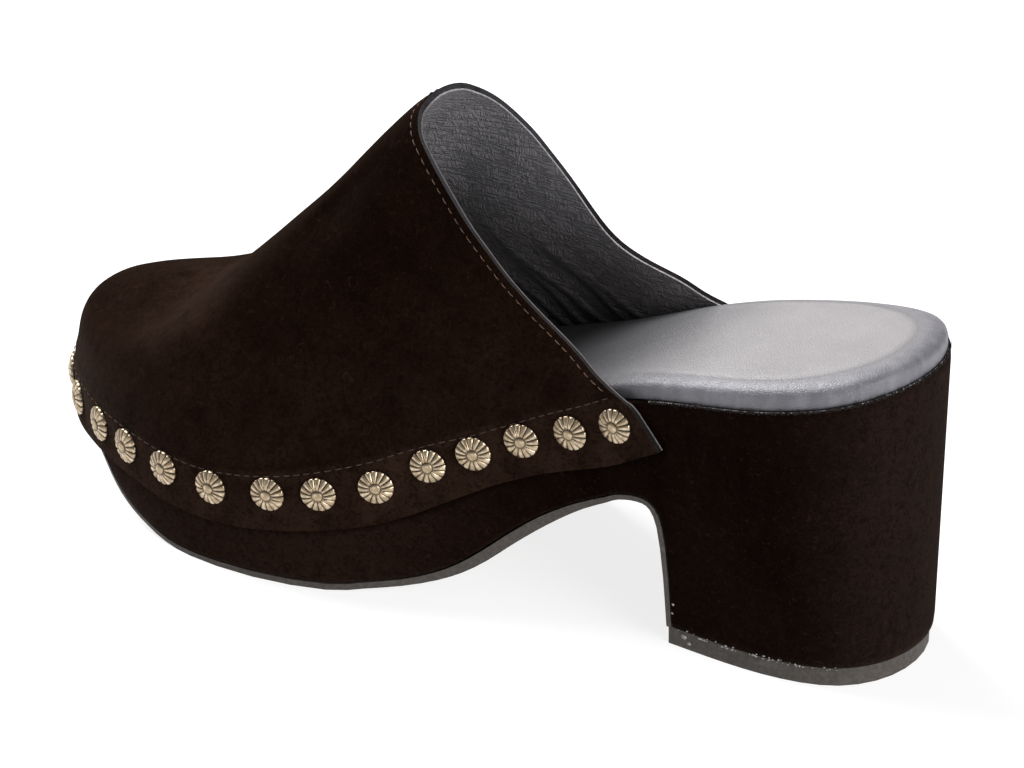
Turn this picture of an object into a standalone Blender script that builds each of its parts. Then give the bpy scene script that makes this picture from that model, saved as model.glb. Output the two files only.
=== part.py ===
"""Platform clog: a suede mule on a covered platform and block heel, right foot.

Metres, +Z up. +X points to the toe and +Y to the inner (medial) side of the
foot. The origin is on the floor under the middle of the heel's tread.
Stations along the shoe run from the heel's back point, before that shift.
"""
import math

import bmesh
import bpy
import numpy as np
from mathutils import Matrix, Vector

# Driving sizes, in metres
LENGTH = 0.2630                # platform, heel's back point to toe
HEEL_WIDTH = 0.0608
WAIST_WIDTH = 0.0580
BALL_WIDTH = 0.0990
HEEL_HEIGHT = 0.0870           # seat above the floor at the heel's back
PLATFORM_HEIGHT = 0.0300       # seat above the floor under the ball
HEEL_TAPER = 0.0026            # how far the heel draws in by the floor
PLATFORM_DRAFT = 0.0003        # the same, at the platform
LIFT_THICKNESS = 0.0054
LIFT_INSET = 0.0010            # lift's edge inside the heel's
OUTSOLE_THICKNESS = 0.0030
FOOTBED_THICKNESS = 0.0078
FOOTBED_ROUND = 0.0050
HEEL_ROUND = 0.0082            # the footbed's rounding round the heel's back
FOOTBED_CROWN = 0.0008
FOOTBED_INSET = 0.0010         # behind the collar, where the footbed shows
FOOTBED_TUCK = 0.0022          # inside the upper
UPPER_WALL = 0.0020
MARGIN_HEIGHT = 0.0170         # the upper's nailed margin, below the seat
INSTEP_HEIGHT = 0.0910         # collar's top above the seat under it
TOE_BOX_HEIGHT = 0.0250
STUD_DIAMETER = 0.0098
STUD_HEIGHT = 0.0018
STUD_DROP = 0.0062             # a stud's middle below the seat line
GAP = 0.0003

# Plan outline: station as a share of LENGTH, inner and outer half width as
# shares of the width named in the last column
PLAN = (
    (0.012, 0.232, 0.232, HEEL_WIDTH),
    (0.045, 0.402, 0.402, HEEL_WIDTH),
    (0.110, 0.497, 0.497, HEEL_WIDTH),
    (0.200, 0.500, 0.504, HEEL_WIDTH),
    (0.300, 0.490, 0.495, WAIST_WIDTH),
    (0.380, 0.503, 0.515, WAIST_WIDTH),
    (0.455, 0.344, 0.352, BALL_WIDTH),
    (0.530, 0.421, 0.399, BALL_WIDTH),
    (0.605, 0.506, 0.441, BALL_WIDTH),
    (0.680, 0.545, 0.455, BALL_WIDTH),
    (0.760, 0.537, 0.427, BALL_WIDTH),
    (0.835, 0.484, 0.372, BALL_WIDTH),
    (0.905, 0.390, 0.293, BALL_WIDTH),
    (0.960, 0.273, 0.193, BALL_WIDTH),
    (0.990, 0.155, 0.085, BALL_WIDTH),
)
TIP_SIDE = 0.030               # toe's tip beside the middle line, of BALL_WIDTH

# Seat line: station, then height as a share of the fall from heel to ball
SEAT = (
    (0.000, 1.000), (0.152, 0.842), (0.303, 0.680), (0.379, 0.530),
    (0.455, 0.370), (0.530, 0.225), (0.606, 0.110), (0.682, 0.032),
    (0.758, 0.000), (0.833, 0.012), (0.909, 0.018), (1.000, 0.040),
)
# Upper's nailed margin: station, then its drop below the seat line as a
# share of MARGIN_HEIGHT
MARGIN = (
    (0.243, 0.770), (0.264, 0.880), (0.301, 1.025), (0.350, 1.015), (0.415, 0.955),
    (0.470, 1.015), (0.530, 1.100), (0.600, 1.010), (0.680, 0.910), (0.760, 0.840),
    (0.850, 0.780), (0.920, 0.780), (1.000, 0.920),
)
# Outsole's lower face from the breast's foot forward: station, then height
# as a share of the seat's height there, and thickness of OUTSOLE_THICKNESS
TREAD = (
    (0.2440, 0.074, 0.50), (0.2470, 0.282, 0.52), (0.2538, 0.485, 0.55),
    (0.2617, 0.554, 0.50), (0.2712, 0.576, 0.46), (0.2856, 0.582, 0.45),
    (0.3000, 0.578, 0.46), (0.3140, 0.560, 0.50), (0.3417, 0.523, 0.65),
    (0.3686, 0.472, 0.85), (0.3947, 0.408, 1.00), (0.4205, 0.329, 1.00),
    (0.4450, 0.240, 1.00), (0.4693, 0.165, 0.90), (0.4924, 0.115, 0.78),
    (0.5270, 0.064, 0.65), (0.5610, 0.033, 0.62), (0.6000, 0.000, 0.60),
    (0.6800, 0.000, 0.55), (0.7600, 0.000, 0.45), (0.7950, 0.024, 0.38),
    (0.8250, 0.085, 0.34), (0.8500, 0.145, 0.32), (0.8720, 0.220, 0.32),
    (0.8920, 0.325, 0.32), (0.9120, 0.445, 0.32), (0.9470, 0.590, 0.32),
    (0.9780, 0.700, 0.32), (1.0000, 0.770, 0.32),
)
TREAD_END = 0.9960
# Seam between the heel's cover and the platform's: stations where it meets
# the seat line and the outsole
SEAM_TOP = 0.440
SEAM_FOOT = 0.358
# Footbed: station, then thickness as a share of FOOTBED_THICKNESS
FOOTBED = ((0.00, 1.00), (0.15, 0.90), (0.30, 0.73), (0.45, 0.64), (1.00, 0.50))

# Crest of the upper: station, side step of BALL_WIDTH, then height above the
# seat as a share of the size named last; behind the collar it is a guide
CREST = (
    (0.220, 0.000, 0.880, INSTEP_HEIGHT),
    (0.380, 0.000, 0.984, INSTEP_HEIGHT),
    (0.470, 0.000, 1.034, INSTEP_HEIGHT),
    (0.561, 0.000, 1.023, INSTEP_HEIGHT),
    (0.606, 0.000, 0.955, INSTEP_HEIGHT),
    (0.652, 0.000, 0.830, INSTEP_HEIGHT),
    (0.705, 0.000, 0.685, INSTEP_HEIGHT),
    (0.758, 0.005, 0.540, INSTEP_HEIGHT),
    (0.800, 0.010, 1.522, TOE_BOX_HEIGHT),
    (0.840, 0.018, 1.156, TOE_BOX_HEIGHT),
    (0.902, 0.030, 0.935, TOE_BOX_HEIGHT),
)
# Where the rib with its foot at a station meets the crest
RIB_TOPS = (
    (0.220, 0.220), (0.700, 0.700), (0.795, 0.772), (0.871, 0.828),
    (0.928, 0.866), (0.970, 0.890), (1.000, 0.902),
)
# Ribs: foot's station, then half width at the five inner RIB_HEIGHTS, as
# shares of the half width at the foot
RIBS = (
    (0.220, 0.880, 0.780, 0.680, 0.560, 0.320),
    (0.380, 0.779, 0.672, 0.619, 0.519, 0.302),
    (0.475, 0.778, 0.627, 0.570, 0.472, 0.263),
    (0.568, 0.794, 0.609, 0.508, 0.410, 0.256),
    (0.663, 0.869, 0.712, 0.538, 0.381, 0.301),
    (0.758, 0.941, 0.818, 0.677, 0.466, 0.205),
    (0.852, 0.962, 0.878, 0.681, 0.308, 0.107),
    (1.000, 0.950, 0.912, 0.783, 0.538, 0.289),
)
RIB_HEIGHTS = (0.0, 0.25, 0.50, 0.72, 0.88, 0.97, 1.0)
# Where the ribs stand: share of their number, then the foot's station
RIB_FEET = ((0.00, 0.225), (0.55, 0.720), (0.75, 0.850))
# Collar in side view: height above the seat as a share of INSTEP_HEIGHT,
# then station on the inner and on the outer side
COLLAR = (
    (-0.036, 0.2695, 0.2695), (0.010, 0.2850, 0.2870), (0.081, 0.3190, 0.3190),
    (0.153, 0.3450, 0.3430), (0.229, 0.3715, 0.3750), (0.308, 0.3980, 0.4080),
    (0.388, 0.4220, 0.4310), (0.467, 0.4435, 0.4475), (0.545, 0.4625, 0.4630),
    (0.619, 0.4800, 0.4790), (0.688, 0.4945, 0.4950), (0.750, 0.5070, 0.5095),
    (0.806, 0.5190, 0.5240), (0.853, 0.5300, 0.5360), (0.893, 0.5405, 0.5465),
    (0.925, 0.5505, 0.5555), (0.950, 0.5580, 0.5625), (0.970, 0.5640, 0.5670),
    (0.986, 0.5700, 0.5700), (0.997, 0.5740, 0.5720), (1.009, 0.5750, 0.5740),
)
COLLAR_TURN = 0.0120           # beside the middle line, where one side's line ends
MARGIN_REAR = 0.243            # station of the nailed margin's rear corner
STITCH_RISE = 0.0010           # where the flank starts, above the seat line

# Studs along each side: station, then drop of the middle below the seat
# line as a share of STUD_DROP; TOE_STUDS more stand round the toe's tip
STUDS = (
    (0.294, 0.88), (0.347, 0.95), (0.402, 0.79), (0.452, 0.79), (0.497, 0.78),
    (0.547, 1.15), (0.601, 0.95), (0.653, 0.74), (0.719, 0.68), (0.782, 0.58),
    (0.841, 0.69), (0.892, 0.73), (0.946, 0.90),
)
TOE_STUDS = 3

HEEL_STEPS = 14                # outline steps behind the upper, each side
FORE_STEPS = 38                # outline steps along the upper, each side
MARGIN_ROWS = 2
FLANK_ROWS = 12
TOE_STEPS = 9
STUD_SIDES = 20

SUEDE = (0.012, 0.009, 0.007)
RUBBER = (0.035, 0.036, 0.038)
INSOLE = (0.110, 0.120, 0.140)
BRASS = (0.330, 0.270, 0.170)


def smooth_line(knots, values):
    """Cubic curve through values, numbers or points, at rising knots."""
    knots = np.asarray(knots, float)
    values = np.asarray(values, float)
    count = len(knots)
    step = np.diff(knots)
    system = np.eye(count)
    load = np.zeros_like(values)
    for i in range(1, count - 1):
        system[i, i - 1:i + 2] = step[i - 1], 2 * (step[i - 1] + step[i]), step[i]
        rise = (values[i + 1] - values[i]) / step[i]
        load[i] = 6 * (rise - (values[i] - values[i - 1]) / step[i - 1])
    bend = np.linalg.solve(system, load)

    def at(x):
        i = int(np.clip(np.searchsorted(knots, x) - 1, 0, count - 2))
        a = (knots[i + 1] - x) / step[i]
        b = 1 - a
        curve = (a ** 3 - a) * bend[i] + (b ** 3 - b) * bend[i + 1]
        return a * values[i] + b * values[i + 1] + curve * step[i] ** 2 / 6

    return at


def flat_line(knots, values):
    """Curve through numbers at rising knots that never overshoots them."""
    knots = np.asarray(knots, float)
    values = np.asarray(values, float)
    step = np.diff(knots)
    rise = np.diff(values) / step
    slope = np.zeros(len(knots))
    slope[0], slope[-1] = rise[0], rise[-1]
    for i in range(1, len(knots) - 1):
        if rise[i - 1] * rise[i] > 0:
            slope[i] = 2 / (1 / rise[i - 1] + 1 / rise[i])

    def at(x):
        x = min(max(x, knots[0]), knots[-1])
        i = int(np.clip(np.searchsorted(knots, x) - 1, 0, len(knots) - 2))
        t = (x - knots[i]) / step[i]
        near = (1 + 2 * t) * (1 - t) ** 2 * values[i] + t * (1 - t) ** 2 * step[i] * slope[i]
        far = t * t * (3 - 2 * t) * values[i + 1] - t * t * (1 - t) * step[i] * slope[i + 1]
        return near + far

    return at


def column(table, index):
    return [row[index] for row in table]


seat_share = smooth_line(column(SEAT, 0), column(SEAT, 1))
tread_share = flat_line(column(TREAD, 0), column(TREAD, 1))
margin_share = smooth_line(column(MARGIN, 0), column(MARGIN, 1))
footbed_share = flat_line(column(FOOTBED, 0), column(FOOTBED, 1))
rib_top = flat_line(column(RIB_TOPS, 0), column(RIB_TOPS, 1))
crest_curve = smooth_line(column(CREST, 0), [(row[1] * BALL_WIDTH, row[2] * row[3]) for row in CREST])
rib_shares = smooth_line(column(RIBS, 0), [row[1:] for row in RIBS])


def seat(x):
    """Height of the seat line at a station in metres."""
    return PLATFORM_HEIGHT + seat_share(x / LENGTH) * (HEEL_HEIGHT - PLATFORM_HEIGHT)


def margin_foot(x):
    """Height of the lower edge of the upper's nailed margin."""
    return seat(x) - margin_share(x / LENGTH) * MARGIN_HEIGHT


# Plan outline as one closed curve: the heel's back point at parameter 0, the
# inner side up to the toe's tip, and back along the outer side to 1
def closed_outline():
    inner = [(row[0] * LENGTH, row[1] * row[3]) for row in PLAN]
    outer = [(row[0] * LENGTH, -row[2] * row[3]) for row in PLAN]
    points = [(0.0, 0.0)] + inner + [(LENGTH, TIP_SIDE * BALL_WIDTH)] + outer[::-1]
    points = np.array(points + points[:1])
    chords = np.concatenate(([0.0], np.cumsum(np.linalg.norm(np.diff(points, axis=0), axis=1))))
    knots = chords / chords[-1]
    wrap = 4
    knots = np.concatenate((knots[-wrap - 1:-1] - 1, knots, knots[1:wrap + 1] + 1))
    points = np.concatenate((points[-wrap - 1:-1], points, points[1:wrap + 1]))
    return smooth_line(knots, points), knots[wrap + len(PLAN) + 1]


outline, TIP = closed_outline()


def outline_at(t, outward=0.0):
    """Point of the outline, moved outward along its normal."""
    reach = 0.0005
    ahead = outline(t + reach) - outline(t - reach)
    normal = np.array((-ahead[1], ahead[0])) / np.linalg.norm(ahead)
    return outline(t) + outward * normal


INNER_T = np.linspace(0.0, TIP, 801)
OUTER_T = np.linspace(1.0, TIP, 801)
INNER_X = np.array([outline(t)[0] for t in INNER_T])
OUTER_X = np.array([outline(t)[0] for t in OUTER_T])


def outline_t(station, side):
    """Parameter where the outline passes a station, side 1 inner, -1 outer."""
    if side > 0:
        return float(np.interp(station * LENGTH, INNER_X, INNER_T))
    return float(np.interp(station * LENGTH, OUTER_X, OUTER_T))


def ring_parameters():
    """Parameters of one ring: heel, inner side, tip and outer side."""
    inner = list(np.linspace(0.0, outline_t(MARGIN_REAR, 1), HEEL_STEPS, endpoint=False))
    inner += list(np.linspace(outline_t(MARGIN_REAR, 1), TIP, FORE_STEPS, endpoint=False))
    outer = list(np.linspace(1.0, outline_t(MARGIN_REAR, -1), HEEL_STEPS, endpoint=False))
    outer += list(np.linspace(outline_t(MARGIN_REAR, -1), TIP, FORE_STEPS, endpoint=False))
    return inner + [TIP] + outer[:0:-1]


def material(name, color, roughness, metallic=0.0):
    found = bpy.data.materials.get(name)
    if found:
        return found
    made = bpy.data.materials.new(name)
    made.use_nodes = True
    shader = made.node_tree.nodes["Principled BSDF"]
    shader.inputs["Base Color"].default_value = (*color, 1.0)
    shader.inputs["Roughness"].default_value = roughness
    shader.inputs["Metallic"].default_value = metallic
    return made


def add_object(name, vertices, faces, finish, smooth_angle=35.0):
    """Mesh object from stations, moved so that the heel's tread is at 0."""
    shift = np.array((-heel_middle(), 0.0, 0.0))
    mesh = bpy.data.meshes.new(name)
    mesh.from_pydata([tuple(np.asarray(v, float) + shift) for v in vertices], [], faces)
    work = bmesh.new()
    work.from_mesh(mesh)
    bmesh.ops.remove_doubles(work, verts=work.verts, dist=1e-6)
    bmesh.ops.recalc_face_normals(work, faces=work.faces)
    work.to_mesh(mesh)
    work.free()
    mesh.shade_smooth()
    mesh.set_sharp_from_angle(angle=math.radians(smooth_angle))
    mesh.materials.append(finish)
    thing = bpy.data.objects.new(name, mesh)
    bpy.context.collection.objects.link(thing)
    return thing


def apply_boolean(thing, cutter):
    """Subtract the cutter for good and hide it as a guide."""
    cut = thing.modifiers.new("cut", "BOOLEAN")
    cut.object = cutter
    cut.operation = "DIFFERENCE"
    cut.solver = "EXACT"
    cutter.hide_render = True
    cutter.display_type = "WIRE"


def heel_middle():
    """Station of the middle of the heel's tread."""
    return (HEEL_TAPER + LIFT_INSET + TREAD[0][0] * LENGTH) / 2


def side_wall(rings):
    """Quads between rings that each have the same number of points."""
    count = len(rings[0])
    faces = []
    for k in range(len(rings) - 1):
        for i in range(count):
            j = (i + 1) % count
            faces.append((k * count + i, k * count + j, (k + 1) * count + j, (k + 1) * count + i))
    return faces


def end_strip(first, count):
    """Quads across a ring, from its inner points to its outer points."""
    half = count // 2
    faces = [(first, first + 1, first + count - 1)]
    for i in range(1, half - 1):
        faces.append((first + i, first + i + 1, first + count - i - 1, first + count - i))
    faces.append((first + half - 1, first + half, first + half + 1))
    return faces


def ring(parameters, outward, height):
    """Ring of points; outward and height are functions of the station."""
    points = []
    for t in parameters:
        x = outline(t)[0]
        spot = outline_at(t, outward(x))
        points.append((spot[0], spot[1], height(spot[0])))
    return points


def layered(name, rings, finish, smooth_angle=35.0):
    count = len(rings[0])
    vertices = [point for one in rings for point in one]
    faces = side_wall(rings) + end_strip(0, count) + end_strip((len(rings) - 1) * count, count)
    return add_object(name, vertices, faces, finish, smooth_angle)


def taper(x):
    """How far the covered sides draw in by the floor at a station."""
    share = min(max((x / LENGTH - 0.35) / 0.15, 0.0), 1.0)
    return HEEL_TAPER + (PLATFORM_DRAFT - HEEL_TAPER) * share


def tread_rows():
    """Rows of TREAD with one more between each two, rounder at the toe."""
    marks = range(len(TREAD))
    station, share, thickness = (flat_line(marks, column(TREAD, k)) for k in range(3))
    rows = [(station(k / 2), share(k / 2), thickness(k / 2)) for k in range(2 * len(TREAD) - 5)]
    ahead = rows[-1][0]
    share_at = flat_line(column(TREAD[-6:], 0), column(TREAD[-6:], 1))
    for k in range(1, TOE_STEPS + 1):
        x = ahead + (TREAD_END - ahead) * math.sin(math.pi / 2 * k / TOE_STEPS)
        rows.append((x, share_at(x), TREAD[-1][2]))
    return rows


def tread_path(extra=0.0):
    """Outsole's lower and upper face from the breast's foot to the toe."""
    rows = tread_rows()
    lower = []
    for station, share, _ in rows:
        lower.append((station * LENGTH, share * seat(station * LENGTH)))
    lower[0] = (lower[0][0], LIFT_THICKNESS + GAP)
    lower = np.array(lower)
    upper_face = []
    for i, (_, _, thickness) in enumerate(rows):
        along = lower[min(i + 1, len(rows) - 1)] - lower[max(i - 1, 0)]
        normal = np.array((-along[1], along[0])) / np.linalg.norm(along)
        upper_face.append(lower[i] + normal * (thickness * OUTSOLE_THICKNESS + extra))
    upper_face[0][1] = lower[0][1]
    return lower, np.array(upper_face)


def side_at(x, side, inward):
    """Y of one side of the outline at a station, drawn in by inward."""
    stations = INNER_T if side > 0 else OUTER_T
    spots = np.array([outline_at(t, -inward) for t in stations[::4]])
    return float(np.interp(x, spots[:, 0], spots[:, 1]))


def outsole():
    lower, upper_face = tread_path()
    vertices = []
    for (x0, z0), (x1, z1) in zip(lower, upper_face):
        inward = taper(x0) * (1 - z0 / seat(x0))
        for x, z in ((x0, z0), (x1, z1)):
            vertices.append((x, side_at(x, 1, inward), z))
            vertices.append((x, side_at(x, -1, inward), z))
    faces = []
    for i in range(len(lower) - 1):
        a, b = 4 * i, 4 * i + 4
        faces.append((a, a + 1, b + 1, b))
        faces.append((a + 2, a + 3, b + 3, b + 2))
        faces.append((a, a + 2, b + 2, b))
        faces.append((a + 1, a + 3, b + 3, b + 1))
    last = 4 * (len(lower) - 1)
    faces.append((0, 1, 3, 2))
    faces.append((last, last + 1, last + 3, last + 2))
    return add_object("outsole", vertices, faces, material("rubber", RUBBER, 0.6))


def prism(name, sections):
    """Cutter through polygons in X and Z, each at its own Y."""
    count = len(sections[0][1])
    vertices = [(x, y, z) for y, polygon in sections for x, z in polygon]
    last = len(vertices) - count
    rings = [polygon for _, polygon in sections]
    faces = side_wall(rings) + [tuple(range(count)), tuple(range(last, last + count))]
    return add_object(name, vertices, faces, material("guide", (0.5, 0.5, 0.5), 0.5))


def straight_prism(name, polygon):
    return prism(name, [(-BALL_WIDTH, polygon), (BALL_WIDTH, polygon)])


def covered_base(name, cutters):
    """Heel and platform before they are parted, as one tapered block."""
    parameters = ring_parameters()
    rings = [
        ring(parameters, lambda x: -taper(x), lambda x: 0.0),
        ring(parameters, lambda x: 0.0, seat),
    ]
    thing = layered(name, rings, material("suede", SUEDE, 0.9))
    for cutter in cutters:
        apply_boolean(thing, cutter)
    return thing


def heel_and_platform():
    _, under = tread_path(GAP)
    reach = 0.02
    floor = LIFT_THICKNESS + GAP
    polygon = [(-reach, -reach), (-reach, floor), (under[0][0], floor)]
    polygon += [tuple(spot) for spot in under[1:]]
    polygon += [(LENGTH + reach, under[-1][1] + reach / 4), (LENGTH + reach, -reach)]
    arch = straight_prism("arch_cutter", polygon)
    top = (SEAM_TOP * LENGTH, seat(SEAM_TOP * LENGTH))
    foot = (SEAM_FOOT * LENGTH, tread_share(SEAM_FOOT) * seat(SEAM_FOOT * LENGTH))
    lean = (top[0] - foot[0]) / (top[1] - foot[1])

    def seam(z):
        return foot[0] + lean * (z - foot[1])

    low, high = -reach, HEEL_HEIGHT + reach
    for name, far, side_step in (("platform", -reach, GAP / 2), ("heel", LENGTH + reach, -GAP / 2)):
        polygon = [(far, low), (seam(low) + side_step, low), (seam(high) + side_step, high), (far, high)]
        covered_base(name, (arch, straight_prism(f"{name}_cutter", polygon)))


def top_lift():
    """Rubber lift under the heel, out to the breast strip's face."""
    front = TREAD[0][0] * LENGTH
    inset = HEEL_TAPER + LIFT_INSET
    parameters = [t for t in ring_parameters() if outline_at(t, -inset)[0] < front - GAP]
    inner = [outline_at(t, -inset) for t in parameters if t < TIP]
    outer = [outline_at(t, -inset) for t in parameters if t > TIP]
    corners = [(front, side_at(front, 1, inset)), (front, side_at(front, -1, inset))]
    points = inner + corners + outer
    count = len(points)
    vertices = [(x, y, 0.0) for x, y in points] + [(x, y, LIFT_THICKNESS) for x, y in points]
    faces = [tuple(range(count)), tuple(range(count, 2 * count))]
    faces += side_wall([points, points])
    return add_object("top_lift", vertices, faces, material("rubber", RUBBER, 0.6))


def footbed():
    parameters = ring_parameters()

    def inset(x):
        share = min(max((x / LENGTH - 0.22) / 0.12, 0.0), 1.0)
        return FOOTBED_INSET + (FOOTBED_TUCK - FOOTBED_INSET) * share * share * (3 - 2 * share)

    def level(share, lift=0.0):
        def height(x):
            thick = footbed_share(x / LENGTH) * FOOTBED_THICKNESS
            return seat(x) + GAP + share * thick + lift
        return height

    def rounding(x):
        share = min(max((x / LENGTH - 0.03) / 0.12, 0.0), 1.0)
        return HEEL_ROUND + (FOOTBED_ROUND - HEEL_ROUND) * share * share * (3 - 2 * share)

    rings = [
        ring(parameters, lambda x: -inset(x), level(0.0)),
        ring(parameters, lambda x: -inset(x), level(0.50)),
        ring(parameters, lambda x: -inset(x) - 0.25 * rounding(x), level(0.80)),
        ring(parameters, lambda x: -inset(x) - rounding(x), level(1.0)),
        ring(parameters, lambda x: -inset(x) - 3 * FOOTBED_ROUND, level(1.0, FOOTBED_CROWN)),
    ]
    return layered("footbed", rings, material("insole", INSOLE, 0.45))


def rib_stations():
    """Stations of the ribs' feet, closer together where the toe turns."""
    rows = [(share, outline_t(station, 1)) for share, station in RIB_FEET] + [(1.0, TIP)]
    along = flat_line(column(rows, 0), column(rows, 1))
    return [outline(along(i / FORE_STEPS))[0] / LENGTH for i in range(FORE_STEPS)] + [1.0]


def rib_points(station, side):
    """Outer face along one rib: the nailed margin, then flank to crest."""
    foot = outline_at(outline_t(station, side), GAP + UPPER_WALL)
    low = margin_foot(foot[0])
    base = seat(foot[0]) + STITCH_RISE
    top = rib_top(station)
    top_side, top_rise = crest_curve(top)
    crest = np.array((top * LENGTH, top_side))
    crest_height = seat(crest[0]) + top_rise
    half = list(zip([1.0] + list(rib_shares(station)) + [0.0], RIB_HEIGHTS))
    curve = smooth_line(range(2 * len(half) - 1), half + [(-out, up) for out, up in half[-2::-1]])
    points = [(*foot, low + (base - low) * k / MARGIN_ROWS) for k in range(MARGIN_ROWS)]
    for k in range(FLANK_ROWS + 1):
        out, up = curve(k / FLANK_ROWS * (len(half) - 1))
        points.append((*(crest + out * (foot - crest)), base + up * (crest_height - base)))
    return points


def collar_polygon(index):
    """All behind one side's collar line and the margin's rear end."""
    reach = 0.02
    edge = []
    for row in COLLAR:
        x = row[index] * LENGTH
        edge.append(np.array((x, seat(x) + row[0] * INSTEP_HEIGHT)))
    corner = np.array((MARGIN_REAR * LENGTH, margin_foot(MARGIN_REAR * LENGTH)))
    below = corner + 0.5 * (corner - edge[0])
    high = HEEL_HEIGHT + 2 * INSTEP_HEIGHT
    polygon = [below, corner] + edge + [(edge[-1][0], high), (-reach, high), (-reach, below[1])]
    return [tuple(spot) for spot in polygon]


def collar_cutter():
    """Guide with the inner side's collar line, turning into the outer's."""
    inner, outer = collar_polygon(1), collar_polygon(2)
    return prism("collar_cutter", [
        (-BALL_WIDTH, outer), (-COLLAR_TURN, outer), (COLLAR_TURN, inner), (BALL_WIDTH, inner),
    ])


def upper():
    vertices = []
    faces = []
    rows = MARGIN_ROWS + FLANK_ROWS + 1
    for side in (1, -1):
        start = len(vertices)
        for station in rib_stations():
            vertices += rib_points(station, side)
        for i in range(FORE_STEPS):
            for k in range(rows - 1):
                a = start + i * rows + k
                b = a + rows
                faces.append((a, b, b + 1, a + 1))
    thing = add_object("upper", vertices, faces, material("suede", SUEDE, 0.9), 60.0)
    shell = thing.modifiers.new("wall", "SOLIDIFY")
    shell.thickness = UPPER_WALL
    shell.offset = -1.0
    shell.use_even_offset = True
    apply_boolean(thing, collar_cutter())
    return thing


def stud_mesh():
    """Low turned dome on a thin rim, its base in XY."""
    radius = STUD_DIAMETER / 2
    profile = ((1.0, 0.0), (1.0, 0.35), (0.80, 0.78), (0.40, 1.0))
    mesh = bpy.data.meshes.new("stud")
    work = bmesh.new()
    rings = []
    for out, up in profile:
        turn = [2 * math.pi * i / STUD_SIDES for i in range(STUD_SIDES)]
        spots = [(out * radius * math.cos(a), out * radius * math.sin(a), up * STUD_HEIGHT) for a in turn]
        rings.append([work.verts.new(spot) for spot in spots])
    for lower, upper_ring in zip(rings, rings[1:]):
        for i in range(STUD_SIDES):
            j = (i + 1) % STUD_SIDES
            work.faces.new((lower[i], lower[j], upper_ring[j], upper_ring[i]))
    work.faces.new(rings[0][::-1])
    work.faces.new(rings[-1])
    work.to_mesh(mesh)
    work.free()
    mesh.shade_smooth()
    mesh.set_sharp_from_angle(angle=math.radians(35.0))
    mesh.materials.append(material("brass", BRASS, 0.35, 1.0))
    return mesh


def stud_seat(t):
    """Plan point and outward normal of a flat base that clears the margin."""
    face = UPPER_WALL + GAP
    middle = outline_at(t, face)
    away = (outline_at(t, face + STUD_DIAMETER) - middle) / STUD_DIAMETER
    near = [outline_at(t + k / 1000, face) for k in range(-12, 13)]
    near = [spot for spot in near if np.linalg.norm(spot - middle) < 0.6 * STUD_DIAMETER]
    bulge = max(float(np.dot(spot - middle, away)) for spot in near)
    return middle + away * (bulge + GAP), away


def studs():
    mesh = stud_mesh()
    spots = []
    for word, side in (("inner", 1), ("outer", -1)):
        for n, (station, drop) in enumerate(STUDS, 1):
            spots.append((f"stud_{word}_{n:02d}", outline_t(station, side), drop))
    first, last = outline_t(STUDS[-1][0], 1), outline_t(STUDS[-1][0], -1)
    for n in range(1, TOE_STUDS + 1):
        t = first + (last - first) * n / (TOE_STUDS + 1)
        spots.append((f"stud_toe_{n:02d}", t, STUDS[-1][1]))
    for name, t, drop in spots:
        spot, away = stud_seat(t)
        turn = Vector((away[0], away[1], 0.0)).to_track_quat("Z", "Y")
        thing = bpy.data.objects.new(name, mesh)
        place = Vector((spot[0] - heel_middle(), spot[1], seat(spot[0]) - drop * STUD_DROP))
        thing.matrix_world = Matrix.Translation(place) @ turn.to_matrix().to_4x4()
        bpy.context.collection.objects.link(thing)


def build():
    for thing in list(bpy.data.objects):
        bpy.data.objects.remove(thing, do_unlink=True)
    outsole()
    top_lift()
    heel_and_platform()
    footbed()
    upper()
    studs()


build()
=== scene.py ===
"""Looks of the platform clog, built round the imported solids.

Stations run from the heel's back point in metres, as in the part's source,
and SHIFT moves them to the row frame, whose origin is under the heel.
"""
import math

import bmesh
import bpy
import numpy as np
from mathutils import Matrix, Vector, noise

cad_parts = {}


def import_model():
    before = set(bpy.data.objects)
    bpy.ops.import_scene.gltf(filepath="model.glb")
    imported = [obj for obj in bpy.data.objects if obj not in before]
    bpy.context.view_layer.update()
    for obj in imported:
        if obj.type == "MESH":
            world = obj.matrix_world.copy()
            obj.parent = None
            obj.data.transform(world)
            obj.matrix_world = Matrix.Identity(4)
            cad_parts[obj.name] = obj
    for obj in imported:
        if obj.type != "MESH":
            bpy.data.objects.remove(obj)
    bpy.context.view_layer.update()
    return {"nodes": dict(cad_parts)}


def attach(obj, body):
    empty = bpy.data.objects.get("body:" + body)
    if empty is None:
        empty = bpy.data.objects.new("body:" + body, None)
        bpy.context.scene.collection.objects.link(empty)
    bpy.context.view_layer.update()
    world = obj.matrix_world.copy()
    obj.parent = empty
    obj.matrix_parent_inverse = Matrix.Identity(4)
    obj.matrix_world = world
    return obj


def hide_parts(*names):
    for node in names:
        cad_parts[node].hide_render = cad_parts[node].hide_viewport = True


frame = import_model()

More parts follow.
